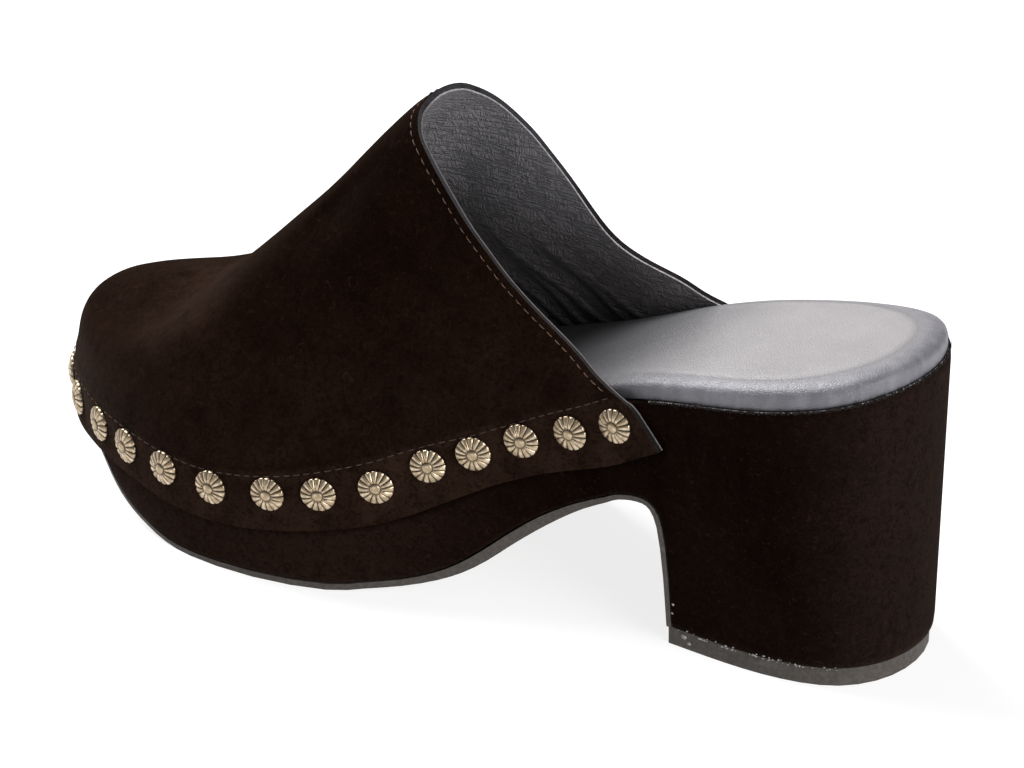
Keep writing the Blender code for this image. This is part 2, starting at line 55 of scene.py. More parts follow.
# Sizes and tables of the part, in metres and shares
LENGTH = 0.2630
HEEL_WIDTH = 0.0608
WAIST_WIDTH = 0.0580
BALL_WIDTH = 0.0990
HEEL_HEIGHT = 0.0870
PLATFORM_HEIGHT = 0.0300
HEEL_TAPER = 0.0026
PLATFORM_DRAFT = 0.0003
LIFT_THICKNESS = 0.0054
LIFT_INSET = 0.0010
OUTSOLE_THICKNESS = 0.0030
FOOTBED_THICKNESS = 0.0078
FOOTBED_ROUND = 0.0050
HEEL_ROUND = 0.0082
FOOTBED_INSET = 0.0010
FOOTBED_TUCK = 0.0022
UPPER_WALL = 0.0020
MARGIN_HEIGHT = 0.0170
INSTEP_HEIGHT = 0.0910
TOE_BOX_HEIGHT = 0.0250
STUD_DIAMETER = 0.0098
STUD_HEIGHT = 0.0018
STUD_DROP = 0.0062
GAP = 0.0003
PLAN = (
    (0.012, 0.232, 0.232, HEEL_WIDTH),
    (0.045, 0.402, 0.402, HEEL_WIDTH),
    (0.110, 0.497, 0.497, HEEL_WIDTH),
    (0.200, 0.500, 0.504, HEEL_WIDTH),
    (0.300, 0.490, 0.495, WAIST_WIDTH),
    (0.380, 0.503, 0.515, WAIST_WIDTH),
    (0.455, 0.344, 0.352, BALL_WIDTH),
    (0.530, 0.421, 0.399, BALL_WIDTH),
    (0.605, 0.506, 0.441, BALL_WIDTH),
    (0.680, 0.545, 0.455, BALL_WIDTH),
    (0.760, 0.537, 0.427, BALL_WIDTH),
    (0.835, 0.484, 0.372, BALL_WIDTH),
    (0.905, 0.390, 0.293, BALL_WIDTH),
    (0.960, 0.273, 0.193, BALL_WIDTH),
    (0.990, 0.155, 0.085, BALL_WIDTH),
)
TIP_SIDE = 0.030
SEAT = (
    (0.000, 1.000), (0.152, 0.842), (0.303, 0.680), (0.379, 0.530),
    (0.455, 0.370), (0.530, 0.225), (0.606, 0.110), (0.682, 0.032),
    (0.758, 0.000), (0.833, 0.012), (0.909, 0.018), (1.000, 0.040),
)
MARGIN = (
    (0.243, 0.770), (0.264, 0.880), (0.301, 1.025), (0.350, 1.015), (0.415, 0.955),
    (0.470, 1.015), (0.530, 1.100), (0.600, 1.010), (0.680, 0.910), (0.760, 0.840),
    (0.850, 0.780), (0.920, 0.780), (1.000, 0.920),
)
TREAD = (
    (0.2440, 0.074, 0.50), (0.2470, 0.282, 0.52), (0.2538, 0.485, 0.55),
    (0.2617, 0.554, 0.50), (0.2712, 0.576, 0.46), (0.2856, 0.582, 0.45),
    (0.3000, 0.578, 0.46), (0.3140, 0.560, 0.50), (0.3417, 0.523, 0.65),
    (0.3686, 0.472, 0.85), (0.3947, 0.408, 1.00), (0.4205, 0.329, 1.00),
    (0.4450, 0.240, 1.00), (0.4693, 0.165, 0.90), (0.4924, 0.115, 0.78),
    (0.5270, 0.064, 0.65), (0.5610, 0.033, 0.62), (0.6000, 0.000, 0.60),
    (0.6800, 0.000, 0.55), (0.7600, 0.000, 0.45), (0.7950, 0.024, 0.38),
    (0.8250, 0.085, 0.34), (0.8500, 0.145, 0.32), (0.8720, 0.220, 0.32),
    (0.8920, 0.325, 0.32), (0.9120, 0.445, 0.32), (0.9470, 0.590, 0.32),
    (0.9780, 0.700, 0.32), (1.0000, 0.770, 0.32),
)
SEAM_TOP = 0.440
SEAM_FOOT = 0.358
FOOTBED = ((0.00, 1.00), (0.15, 0.90), (0.30, 0.73), (0.45, 0.64), (1.00, 0.50))
CREST = (
    (0.220, 0.000, 0.880, INSTEP_HEIGHT),
    (0.380, 0.000, 0.984, INSTEP_HEIGHT),
    (0.470, 0.000, 1.034, INSTEP_HEIGHT),
    (0.561, 0.000, 1.023, INSTEP_HEIGHT),
    (0.606, 0.000, 0.955, INSTEP_HEIGHT),
    (0.652, 0.000, 0.830, INSTEP_HEIGHT),
    (0.705, 0.000, 0.685, INSTEP_HEIGHT),
    (0.758, 0.005, 0.540, INSTEP_HEIGHT),
    (0.800, 0.010, 1.522, TOE_BOX_HEIGHT),
    (0.840, 0.018, 1.156, TOE_BOX_HEIGHT),
    (0.902, 0.030, 0.935, TOE_BOX_HEIGHT),
)
RIB_TOPS = (
    (0.220, 0.220), (0.700, 0.700), (0.795, 0.772), (0.871, 0.828),
    (0.928, 0.866), (0.970, 0.890), (1.000, 0.902),
)
RIBS = (
    (0.220, 0.880, 0.780, 0.680, 0.560, 0.320),
    (0.380, 0.779, 0.672, 0.619, 0.519, 0.302),
    (0.475, 0.778, 0.627, 0.570, 0.472, 0.263),
    (0.568, 0.794, 0.609, 0.508, 0.410, 0.256),
    (0.663, 0.869, 0.712, 0.538, 0.381, 0.301),
    (0.758, 0.941, 0.818, 0.677, 0.466, 0.205),
    (0.852, 0.962, 0.878, 0.681, 0.308, 0.107),
    (1.000, 0.950, 0.912, 0.783, 0.538, 0.289),
)
RIB_HEIGHTS = (0.0, 0.25, 0.50, 0.72, 0.88, 0.97, 1.0)
RIB_FEET = ((0.00, 0.225), (0.55, 0.720), (0.75, 0.850))
COLLAR = (
    (-0.036, 0.2695, 0.2695), (0.010, 0.2850, 0.2870), (0.081, 0.3190, 0.3190),
    (0.153, 0.3450, 0.3430), (0.229, 0.3715, 0.3750), (0.308, 0.3980, 0.4080),
    (0.388, 0.4220, 0.4310), (0.467, 0.4435, 0.4475), (0.545, 0.4625, 0.4630),
    (0.619, 0.4800, 0.4790), (0.688, 0.4945, 0.4950), (0.750, 0.5070, 0.5095),
    (0.806, 0.5190, 0.5240), (0.853, 0.5300, 0.5360), (0.893, 0.5405, 0.5465),
    (0.925, 0.5505, 0.5555), (0.950, 0.5580, 0.5625), (0.970, 0.5640, 0.5670),
    (0.986, 0.5700, 0.5700), (0.997, 0.5740, 0.5720), (1.009, 0.5750, 0.5740),
)
COLLAR_TURN = 0.0120
MARGIN_REAR = 0.243
STITCH_RISE = 0.0010
STUDS = (
    (0.294, 0.88), (0.347, 0.95), (0.402, 0.79), (0.452, 0.79), (0.497, 0.78),
    (0.547, 1.15), (0.601, 0.95), (0.653, 0.74), (0.719, 0.68), (0.782, 0.58),
    (0.841, 0.69), (0.892, 0.73), (0.946, 0.90),
)
TOE_STUDS = 3
TOE_STEPS = 9
TREAD_END = 0.9960

# Looks: sizes of what the solids leave out, in metres
SUEDE_SKIN = 0.00150           # the upper's outer layer; the lining is the rest
STITCH_LENGTH = 0.0020
STITCH_PITCH = 0.0030
STITCH_RADIUS = 0.00017
COLLAR_STITCH = 0.0023         # stitch line inside the collar's edge
FOOTBED_SEAM = 0.0047          # pressed line in from the footbed's edge
# Stitches over the studs: station, then height above the seat line
STITCH_LINE = (
    (0.303, 0.0025), (0.325, 0.0016), (0.347, 0.0011), (0.383, 0.0009), (0.410, 0.0006),
    (0.450, 0.0005), (0.500, 0.0012), (0.525, 0.0011), (0.550, 0.0006), (0.700, 0.0006),
    (0.800, 0.0008), (0.850, 0.0008), (0.900, 0.0005), (1.000, 0.0005),
)
# Folds of the lining over the footbed: station, reach along it and height
LINING_FOLDS = (
    (0.345, 0.0022, 0.012), (0.372, 0.0020, 0.015), (0.405, 0.0026, 0.018), (0.440, 0.0022, 0.014),
    (0.462, 0.0020, 0.022), (0.492, 0.0028, 0.018), (0.520, 0.0024, 0.014), (0.560, 0.0030, 0.016),
)
COLUMNS_ALONG = 150            # mesh columns from the collar to the toe's tip
FLANK_ROWS = 84
MARGIN_ROWS = 16
PETALS = 15
GROOVE_DEPTH, GROOVE_WIDTH = 0.00045, 0.0011
WAVE_DEPTH = 0.00022
FOLD_DEPTH = 0.0009
COVER_EDGE = 0.0005            # rounding of the covers' edges
GLUE_RADIUS = 0.00022
GLUE_END = 0.262               # station where the glue line meets the upper
FIBRES = 1500
GLUE_FLECKS = 60
# Larger flecks of glue: station, height and size
GLUE_SPOTS = (
    (0.236, 0.0132, 0.0006), (0.237, 0.0104, 0.0005), (0.226, 0.0036, 0.0011), (0.220, 0.0020, 0.0008),
)
# The photo's camera: degrees, metres, and pixels of the photo
CAMERA_TURN, CAMERA_RISE, CAMERA_ROLL = 32.0, 28.0, -0.55
CAMERA_AIM = (0.120, 0.0, 0.050)
CAMERA_DISTANCE = 1.5
PHOTO_WIDTH = 1024
FOCAL_PIXELS = 5574
SHIFT_PIXELS = (-27.2, 2.2)
SENSOR = 36.0                  # millimetres


def smooth_line(knots, values):
    """Cubic curve through values, numbers or points, at rising knots."""
    knots = np.asarray(knots, float)
    values = np.asarray(values, float)
    count = len(knots)
    step = np.diff(knots)
    system = np.eye(count)
    load = np.zeros_like(values)
    for i in range(1, count - 1):
        system[i, i - 1:i + 2] = step[i - 1], 2 * (step[i - 1] + step[i]), step[i]
        rise = (values[i + 1] - values[i]) / step[i]
        load[i] = 6 * (rise - (values[i] - values[i - 1]) / step[i - 1])
    bend = np.linalg.solve(system, load)

    def at(x):
        i = int(min(max(np.searchsorted(knots, x) - 1, 0), count - 2))
        a = (knots[i + 1] - x) / step[i]
        b = 1 - a
        curve = (a ** 3 - a) * bend[i] + (b ** 3 - b) * bend[i + 1]
        return a * values[i] + b * values[i + 1] + curve * step[i] ** 2 / 6

    return at


def flat_line(knots, values):
    """Curve through numbers at rising knots that never overshoots them."""
    knots = np.asarray(knots, float)
    values = np.asarray(values, float)
    step = np.diff(knots)
    rise = np.diff(values) / step
    slope = np.zeros(len(knots))
    slope[0], slope[-1] = rise[0], rise[-1]
    for i in range(1, len(knots) - 1):
        if rise[i - 1] * rise[i] > 0:
            slope[i] = 2 / (1 / rise[i - 1] + 1 / rise[i])

    def at(x):
        x = min(max(x, knots[0]), knots[-1])
        i = int(min(max(np.searchsorted(knots, x) - 1, 0), len(knots) - 2))
        t = (x - knots[i]) / step[i]
        near = (1 + 2 * t) * (1 - t) ** 2 * values[i] + t * (1 - t) ** 2 * step[i] * slope[i]
        far = t * t * (3 - 2 * t) * values[i + 1] - t * t * (1 - t) * step[i] * slope[i + 1]
        return near + far

    return at


def column(table, index):
    return [row[index] for row in table]


def between(value, low, high):
    """Share of the way from low to high, held at 0 and 1."""
    return min(max((value - low) / (high - low), 0.0), 1.0)


def ease(value, low, high):
    share = between(value, low, high)
    return share * share * (3 - 2 * share)


def crossing(behind, low, high, steps):
    """Where behind turns from true to false, found by halving the range."""
    for _ in range(steps):
        middle = (low + high) / 2
        if behind(middle):
            low = middle
        else:
            high = middle
    return (low + high) / 2


def run_length(points):
    """Length along a line of points, up to each of them."""
    return np.concatenate(([0.0], np.cumsum(np.linalg.norm(np.diff(points, axis=0), axis=1))))


seat_share = smooth_line(column(SEAT, 0), column(SEAT, 1))
tread_share = flat_line(column(TREAD, 0), column(TREAD, 1))
margin_share = smooth_line(column(MARGIN, 0), column(MARGIN, 1))
footbed_share = flat_line(column(FOOTBED, 0), column(FOOTBED, 1))
rib_top = flat_line(column(RIB_TOPS, 0), column(RIB_TOPS, 1))
crest_curve = smooth_line(column(CREST, 0), [(row[1] * BALL_WIDTH, row[2] * row[3]) for row in CREST])
rib_shares = smooth_line(column(RIBS, 0), [row[1:] for row in RIBS])


def seat(x):
    return PLATFORM_HEIGHT + seat_share(x / LENGTH) * (HEEL_HEIGHT - PLATFORM_HEIGHT)


def margin_foot(x):
    return seat(x) - margin_share(x / LENGTH) * MARGIN_HEIGHT


def closed_outline():
    inner = [(row[0] * LENGTH, row[1] * row[3]) for row in PLAN]
    outer = [(row[0] * LENGTH, -row[2] * row[3]) for row in PLAN]
    points = [(0.0, 0.0)] + inner + [(LENGTH, TIP_SIDE * BALL_WIDTH)] + outer[::-1]
    points = np.array(points + points[:1])
    chords = run_length(points)
    knots = chords / chords[-1]
    wrap = 4
    knots = np.concatenate((knots[-wrap - 1:-1] - 1, knots, knots[1:wrap + 1] + 1))
    points = np.concatenate((points[-wrap - 1:-1], points, points[1:wrap + 1]))
    return smooth_line(knots, points), knots[wrap + len(PLAN) + 1]


outline, TIP = closed_outline()


def outline_at(t, outward=0.0):
    reach = 0.0005
    ahead = outline(t + reach) - outline(t - reach)
    normal = np.array((-ahead[1], ahead[0])) / np.linalg.norm(ahead)
    return outline(t) + outward * normal


def side_line(begin):
    along = np.linspace(begin, TIP, 801)
    return np.array([outline(t)[0] for t in along]), along


OUTLINE_SIDES = {1: side_line(0.0), -1: side_line(1.0)}


def outline_t(station, side):
    return float(np.interp(station * LENGTH, *OUTLINE_SIDES[side]))


SHIFT = np.array((-(HEEL_TAPER + LIFT_INSET + TREAD[0][0] * LENGTH) / 2, 0.0, 0.0))


def taper(x):
    return HEEL_TAPER + (PLATFORM_DRAFT - HEEL_TAPER) * between(x / LENGTH, 0.35, 0.50)


def tread_rows():
    marks = range(len(TREAD))
    station, share, thickness = (flat_line(marks, column(TREAD, k)) for k in range(3))
    rows = [(station(k / 2), share(k / 2), thickness(k / 2)) for k in range(2 * len(TREAD) - 5)]
    ahead = rows[-1][0]
    share_at = flat_line(column(TREAD[-6:], 0), column(TREAD[-6:], 1))
    for k in range(1, TOE_STEPS + 1):
        x = ahead + (TREAD_END - ahead) * math.sin(math.pi / 2 * k / TOE_STEPS)
        rows.append((x, share_at(x), TREAD[-1][2]))
    return rows


def under_line(extra):
    """Line just over the outsole, from the breast's foot to the toe."""
    rows = tread_rows()
    lower = [(station * LENGTH, share * seat(station * LENGTH)) for station, share, _ in rows]
    lower[0] = (lower[0][0], LIFT_THICKNESS + GAP)
    lower = np.array(lower)
    line = []
    for i, (_, _, thickness) in enumerate(rows):
        along = lower[min(i + 1, len(rows) - 1)] - lower[max(i - 1, 0)]
        normal = np.array((-along[1], along[0])) / np.linalg.norm(along)
        line.append(lower[i] + normal * (thickness * OUTSOLE_THICKNESS + extra))
    line[0][1] = lower[0][1]
    return np.array(line)


UNDER = under_line(GAP)


# Upper: its surface by station of the rib's foot, side and share of the rib
def collar_side(index):
    """One side's collar and margin end in side view: heights, then stations."""
    spots = [(row[index] * LENGTH, row[0] * INSTEP_HEIGHT) for row in COLLAR]
    spots = [np.array((x, seat(x) + rise)) for x, rise in spots]
    line = smooth_line(range(len(spots)), spots)
    edge = [line(k / 4) for k in range(4 * (len(spots) - 1) + 1)]
    corner = np.array((MARGIN_REAR * LENGTH, margin_foot(MARGIN_REAR * LENGTH)))
    below = corner + 0.5 * (corner - edge[0])
    points = np.array([below, corner] + edge + [edge[-1] + (0.0, 0.02)])
    return points[:, 1], points[:, 0]


COLLAR_INNER = collar_side(1)
COLLAR_OUTER = collar_side(2)


class Rib:
    """One line of the upper's outer face from the margin's foot to the crest."""

    def __init__(self, station, side):
        self.foot = outline_at(outline_t(station, side), GAP + UPPER_WALL)
        self.low = margin_foot(self.foot[0])
        self.base = seat(self.foot[0]) + STITCH_RISE
        top = rib_top(station)
        top_side, top_rise = crest_curve(top)
        self.crest = np.array((top * LENGTH, top_side))
        self.height = seat(self.crest[0]) + top_rise - self.base
        half = list(zip([1.0] + list(rib_shares(station)) + [0.0], RIB_HEIGHTS))
        self.curve = smooth_line(range(2 * len(half) - 1), half + [(-out, up) for out, up in half[-2::-1]])
        self.spans = len(half) - 1

    def point(self, share):
        """Share 0 to 1 is the flank, and -1 to 0 the margin."""
        if share < 0:
            return np.array((*self.foot, self.low + (self.base - self.low) * (1 + share)))
        out, up = self.curve(share * self.spans)
        return np.array((*(self.crest + out * (self.foot - self.crest)), self.base + up * self.height))


def behind_collar(spot):
    share = between(spot[1], -COLLAR_TURN, COLLAR_TURN)
    inner, outer = np.interp(spot[2], *COLLAR_INNER), np.interp(spot[2], *COLLAR_OUTER)
    return spot[0] < outer + share * (inner - outer)


def edge_station(share, side):
    """Station of the rib that crosses the collar at a share."""
    return crossing(lambda station: behind_collar(Rib(station, side).point(share)), 0.225, 0.620, 22)


def station_rows(share, side, count):
    """Stations from the collar to the tip, closer where the toe turns."""
    start = outline_t(edge_station(share, side), 1)
    rows = [(s, outline_t(station, 1)) for s, station in RIB_FEET] + [(1.0, TIP)]
    along = flat_line(column(rows, 0), column(rows, 1))
    first = along(0.0)
    stations = []
    for i in range(count):
        t = start + (TIP - start) * (along(i / count) - first) / (TIP - first)
        stations.append(outline(t)[0] / LENGTH)
    return stations + [1.0]


def flank_shares():
    lower = [-1 + i / MARGIN_ROWS for i in range(MARGIN_ROWS)]
    return lower + [i / FLANK_ROWS for i in range(FLANK_ROWS + 1)]


def upper_surface():
    """Grid of the outer face: rows by share, columns round the toe."""
    grid = []
    for share in flank_shares():
        inner, outer = ([Rib(s, side).point(share) for s in station_rows(share, side, COLUMNS_ALONG)]
                        for side in (1, -1))
        grid.append(inner + outer[-2::-1])
    return np.array(grid)


def grid_normals(grid):
    """Outward normals of the grid, from its own differences."""
    across = np.gradient(grid, axis=1)
    along = np.gradient(grid, axis=0)
    normal = np.cross(along, across)
    size = np.linalg.norm(normal, axis=2, keepdims=True)
    return normal / np.maximum(size, 1e-12)


def fold(value, width):
    return np.exp(-(value / width) ** 2)


# Materials
class Nodes:
    """Short hand for building one material's nodes."""

    def __init__(self, name):
        self.material = bpy.data.materials.new(name)
        self.material.use_nodes = True
        self.tree = self.material.node_tree
        self.place = self.node("TexCoord").outputs["Object"]

    def feed(self, socket, value):
        """Links an output to a socket, or sets its number or colour."""
        if isinstance(value, bpy.types.NodeSocket):
            self.tree.links.new(value, socket)
        elif socket.type == "RGBA":
            socket.default_value = (*value, 1.0)
        else:
            socket.default_value = value

    def node(self, kind, **values):
        made = self.tree.nodes.new("ShaderNode" + kind)
        for name, value in values.items():
            self.feed(made.inputs[name.replace("_", " ")], value)
        return made

    def set(self, **values):
        """Feeds the surface shader and gives back the material."""
        for name, value in values.items():
            self.feed(self.tree.nodes["Principled BSDF"].inputs[name.replace("_", " ")], value)
        return self.material

    def noise(self, scale, detail=3.0, rough=0.55, stretch=None, distortion=0.0):
        """Noise; stretch holds a scale for each axis and may add a rotation."""
        place = self.place
        if stretch:
            turn = stretch[3:] or (0.0, 0.0, 0.0)
            place = self.node("Mapping", Vector=place, Scale=stretch[:3], Rotation=turn).outputs["Vector"]
        return self.node("TexNoise", Vector=place, Scale=scale, Detail=detail, Roughness=rough,
                         Distortion=distortion).outputs["Fac"]

    def grain(self, scale):
        """Distance to the edges of small leather cells."""
        made = self.node("TexVoronoi", Vector=self.place, Scale=scale)
        made.feature = "DISTANCE_TO_EDGE"
        return made.outputs["Distance"]

    def lines(self, scale, stretch, width=0.05):
        """0 on thin wandering lines and 1 between them."""
        middle = self.math("ABSOLUTE", self.math("SUBTRACT", self.noise(scale, 2.0, 0.5, stretch), 0.5), 0.0)
        return self.ramp(middle, 0.0, width)

    def axis(self, name):
        return self.node("SeparateXYZ", Vector=self.place).outputs[name]

    def attribute(self, name):
        made = self.node("Attribute")
        made.attribute_name = name
        return made.outputs["Fac"]

    def ramp(self, value, low, high, to_low=0.0, to_high=1.0):
        made = self.node("MapRange", Value=value, From_Min=low, From_Max=high, To_Min=to_low, To_Max=to_high)
        made.interpolation_type = "SMOOTHSTEP"
        return made.outputs["Result"]

    def math(self, operation, a, b):
        made = self.node("Math")
        made.operation = operation
        self.feed(made.inputs[0], a)
        self.feed(made.inputs[1], b)
        return made.outputs[0]

    def mix(self, factor, first, second):
        made = self.node("Mix")
        made.data_type = "RGBA"
        for index, value in ((0, factor), (6, first), (7, second)):
            self.feed(made.inputs[index], value)
        return made.outputs[2]

    def blend(self, value, low, high, first, second, most=1.0):
        """From the first colour to the second as value goes from low to high."""
        return self.mix(self.ramp(value, low, high, 0.0, most), first, second)

    def bump(self, height, distance, strength=1.0):
        return self.node("Bump", Height=height, Distance=distance, Strength=strength).outputs["Normal"]


def suede_nap(n, tone, light, streak=0.45):
    """Adds short strokes, curly nap and stray fibres to a suede's tone."""
    brushed = n.noise(300.0, 3.0, 0.65, (1.0, 1.0, streak))
    curls = n.noise(560.0, 5.0, 0.72, None, 1.4)
    fibre = n.noise(2100.0, 3.0, 0.75)
    tone = n.blend(brushed, 0.42, 0.78, tone, light, 0.45)
    tone = n.blend(curls, 0.52, 0.40, tone, tuple(0.35 * c for c in light), 0.55)
    tone = n.blend(curls, 0.56, 0.72, tone, tuple(2.6 * c for c in light), 0.75)
    tone = n.blend(fibre, 0.54, 0.82, tone, tuple(3.2 * c for c in light), 0.50)
    relief = n.math("ADD", n.math("MULTIPLY", curls, 0.8), n.math("MULTIPLY", fibre, 0.5))
    return tone, n.bump(relief, 0.00035, 0.9)


def suede_finish(n, tone, normal):
    return n.set(Base_Color=tone, Roughness=0.95, Normal=normal, Specular_IOR_Level=0.0,
                 Sheen_Weight=0.050, Sheen_Roughness=0.32, Sheen_Tint=(0.88, 0.78, 0.70))


def suede_material():
    """Brushed suede of the upper, paler along the margin and the flank's foot, with a painted highlight on
    the toe's top.
    """
    n = Nodes("suede_brushed")
    clouds = n.noise(42.0, 4.0, 0.62)
    tone = n.blend(clouds, 0.30, 0.72, (0.0033, 0.0014, 0.0008), (0.0073, 0.0033, 0.0018))
    patches = n.ramp(n.noise(90.0, 3.0, 0.6), 0.25, 0.65, 0.35, 1.0)
    # mix toward paler suede: the margin and the flank's foot, and the painted highlight on the toe's top
    tone = n.mix(n.math("MULTIPLY", n.attribute("paler_and_highlight"), patches), tone, (0.032, 0.0175, 0.0122))
    tone, normal = suede_nap(n, tone, (0.0084, 0.0039, 0.0023))
    return suede_finish(n, tone, normal)


def cover_material():
    """Suede of the covers: dark under the waist and paler toward the toe, with a painted highlight on the
    heel's back and a painted shadow line under the margin.
    """
    n = Nodes("suede_cover")
    clouds = n.noise(42.0, 4.0, 0.62)
    tone = n.blend(clouds, 0.30, 0.72, (0.0026, 0.0011, 0.0007), (0.0066, 0.0031, 0.0021))
    # paler toward the toe
    tone = n.blend(n.axis("X"), 0.062, 0.125, tone, (0.0210, 0.0115, 0.0080), 0.62)
    # painted highlight on the heel's back, where light grazes the nap
    tone = n.blend(n.axis("X"), -0.004, -0.036, tone, (0.0230, 0.0150, 0.0120), 0.50)
    tone, normal = suede_nap(n, tone, (0.0084, 0.0042, 0.0030), 0.30)
    tone = n.mix(n.attribute("shade"), tone, (0.0012, 0.0006, 0.0004))
    return suede_finish(n, tone, normal)


def edge_material():
    """Raw cut edge of the suede: greyer, fuzzy, paler up at the collar's top."""
    n = Nodes("suede_cut_edge")
    fuzz = n.noise(1500.0, 3.0, 0.7)
    broad = n.noise(240.0, 2.0)
    tone = n.blend(fuzz, 0.38, 0.75, (0.0035, 0.0026, 0.0023), (0.016, 0.0138, 0.0135))
    tone = n.blend(n.axis("Z"), 0.085, 0.118, tone, (0.030, 0.030, 0.034), 0.80)
    tone = n.blend(broad, 0.48, 0.72, tone, (0.008, 0.006, 0.0055), 0.7)
    return n.set(Base_Color=tone, Roughness=0.95, Normal=n.bump(fuzz, 0.00025), Specular_IOR_Level=0.1,
                 Sheen_Weight=0.05, Sheen_Roughness=0.5)


def pale_edge_material():
    """Cut edge of the lining leather, darker and broken along the inner side."""
    n = Nodes("lining_cut_edge")
    fuzz = n.noise(900.0, 3.0, 0.7)
    gaps = n.noise(110.0, 3.0)
    tone = n.blend(fuzz, 0.35, 0.75, (0.24, 0.22, 0.24), (0.42, 0.39, 0.42))
    # darker toward the inner side
    inner_side_darker = n.ramp(n.axis("Y"), -0.004, 0.010, 0.0, 0.80)
    tone = n.mix(inner_side_darker, tone, (0.075, 0.062, 0.058))
    tone = n.blend(gaps, 0.60, 0.72, tone, (0.040, 0.035, 0.036), 0.6)
    return n.set(Base_Color=tone, Roughness=0.8, Normal=n.bump(fuzz, 0.0002))


def lining_material():
    """Grey-blue leather lining, cross-hatched by fine wrinkles; painted light pales it toward the top, and
    painted shade darkens it below and in the creases by its folds.
    """
    n = Nodes("lining_leather")
    level = n.lines(760.0, (0.12, 0.12, 1.0), 0.07)
    upright = n.lines(700.0, (1.0, 1.0, 0.12), 0.07)
    slanting = n.lines(300.0, (1.0, 1.0, 0.30, 0.0, 0.5, 0.0), 0.05)
    pores = n.noise(2600.0, 2.0, 0.6)
    clouds = n.noise(34.0, 3.0)
    # painted light and shade: paler toward the top, darker below
    wear_and_light = n.ramp(n.axis("Z"), 0.055, 0.112, 0.0, 1.0)
    wrinkle = n.math("MULTIPLY", n.math("MULTIPLY", level, n.ramp(upright, 0.0, 1.0, 0.4, 1.0)),
                     n.ramp(slanting, 0.0, 1.0, 0.7, 1.0))
    tone = n.blend(clouds, 0.3, 0.7, (0.150, 0.136, 0.136), (0.200, 0.186, 0.190))
    tone = n.mix(n.math("MULTIPLY", wear_and_light, 0.9), tone, (0.255, 0.246, 0.262))
    tone = n.mix(n.ramp(wrinkle, 0.0, 1.0, 0.30, 0.0), tone, (0.030, 0.027, 0.029))
    # painted shade in the creases beside the lining's folds
    tone = n.mix(n.attribute("crease_shade"), tone, (0.020, 0.017, 0.016))
    relief = n.math("ADD", wrinkle, n.math("MULTIPLY", pores, 0.2))
    return n.set(Base_Color=tone, Roughness=n.ramp(clouds, 0.3, 0.7, 0.42, 0.54),
                 Normal=n.bump(relief, 0.00030, 1.0), Specular_IOR_Level=0.45)


def footbed_material():
    """Satin blue-grey leather with a fine grain; its turned-down wall is bluer and darker, partly its own
    colour and partly painted shade, and painted shade darkens the front under the upper.
    """
    n = Nodes("footbed_leather")
    grain = n.grain(1300.0)
    clouds = n.noise(22.0, 4.0)
    marks = n.noise(90.0, 3.0, 0.6, (0.3, 1.0, 1.0))
    tone = n.blend(clouds, 0.3, 0.7, (0.235, 0.222, 0.228), (0.285, 0.270, 0.275))
    tone = n.blend(marks, 0.62, 0.80, tone, (0.190, 0.180, 0.190), 0.30)
    rubbed = n.noise(300.0, 3.0, 0.6, (1.0, 1.0, 0.5))
    # the wall: bluer leather, darkened further by painted shade
    side = n.blend(rubbed, 0.35, 0.75, (0.118, 0.116, 0.132), (0.165, 0.161, 0.180))
    tone = n.mix(n.attribute("wall"), tone, side)
    shaded = n.ramp(n.axis("X"), 0.012, 0.056, 0.0, 0.85)
    tone = n.mix(shaded, tone, (0.048, 0.048, 0.053))
    tone = n.mix(n.attribute("seam"), tone, (0.105, 0.102, 0.112))
    relief = n.math("ADD", n.ramp(grain, 0.0, 0.2), n.math("MULTIPLY", clouds, 0.6))
    return n.set(Base_Color=tone, Roughness=n.ramp(marks, 0.3, 0.8, 0.38, 0.48),
                 Normal=n.bump(relief, 0.00006, 0.8), Specular_IOR_Level=0.45)


def rubber_material():
    """Dark grey rubber, scuffed paler."""
    n = Nodes("rubber_scuffed")
    grain = n.noise(900.0, 3.0, 0.6)
    scuff = n.noise(160.0, 4.0, 0.65, (0.35, 0.35, 1.4))
    tone = n.blend(grain, 0.3, 0.7, (0.046, 0.040, 0.035), (0.072, 0.062, 0.055))
    tone = n.blend(scuff, 0.58, 0.76, tone, (0.125, 0.113, 0.104), 0.6)
    return n.set(Base_Color=tone, Roughness=n.ramp(scuff, 0.4, 0.7, 0.60, 0.78),
                 Normal=n.bump(grain, 0.0001), Specular_IOR_Level=0.3)


def thread_material(name, dark, light):
    n = Nodes(name)
    twist = n.noise(3000.0, 2.0)
    tone = n.blend(twist, 0.35, 0.7, dark, light)
    return n.set(Base_Color=tone, Roughness=0.8, Normal=n.bump(twist, 0.0001), Specular_IOR_Level=0.2)


def stud_material():
    """Antique brass: yellow-brown, rubbed on the crowns and dark in the grooves."""
    n = Nodes("stud_metal")
    groove = n.attribute("groove")
    wear_and_light = n.noise(650.0, 3.0, 0.6)
    tone = n.blend(wear_and_light, 0.35, 0.70, (0.33, 0.25, 0.16), (0.58, 0.47, 0.34))
    tone = n.mix(groove, tone, (0.020, 0.014, 0.009))
    return n.set(Base_Color=tone, Metallic=1.0, Roughness=n.ramp(wear_and_light, 0.3, 0.7, 0.42, 0.30),
                 Normal=n.bump(wear_and_light, 0.00005, 0.7))


def glue_material():
    n = Nodes("glue_and_fibres")
    lumps = n.noise(1200.0, 2.0)
    tone = n.blend(lumps, 0.35, 0.7, (0.16, 0.155, 0.16), (0.40, 0.38, 0.38))
    return n.set(Base_Color=tone, Roughness=0.75)


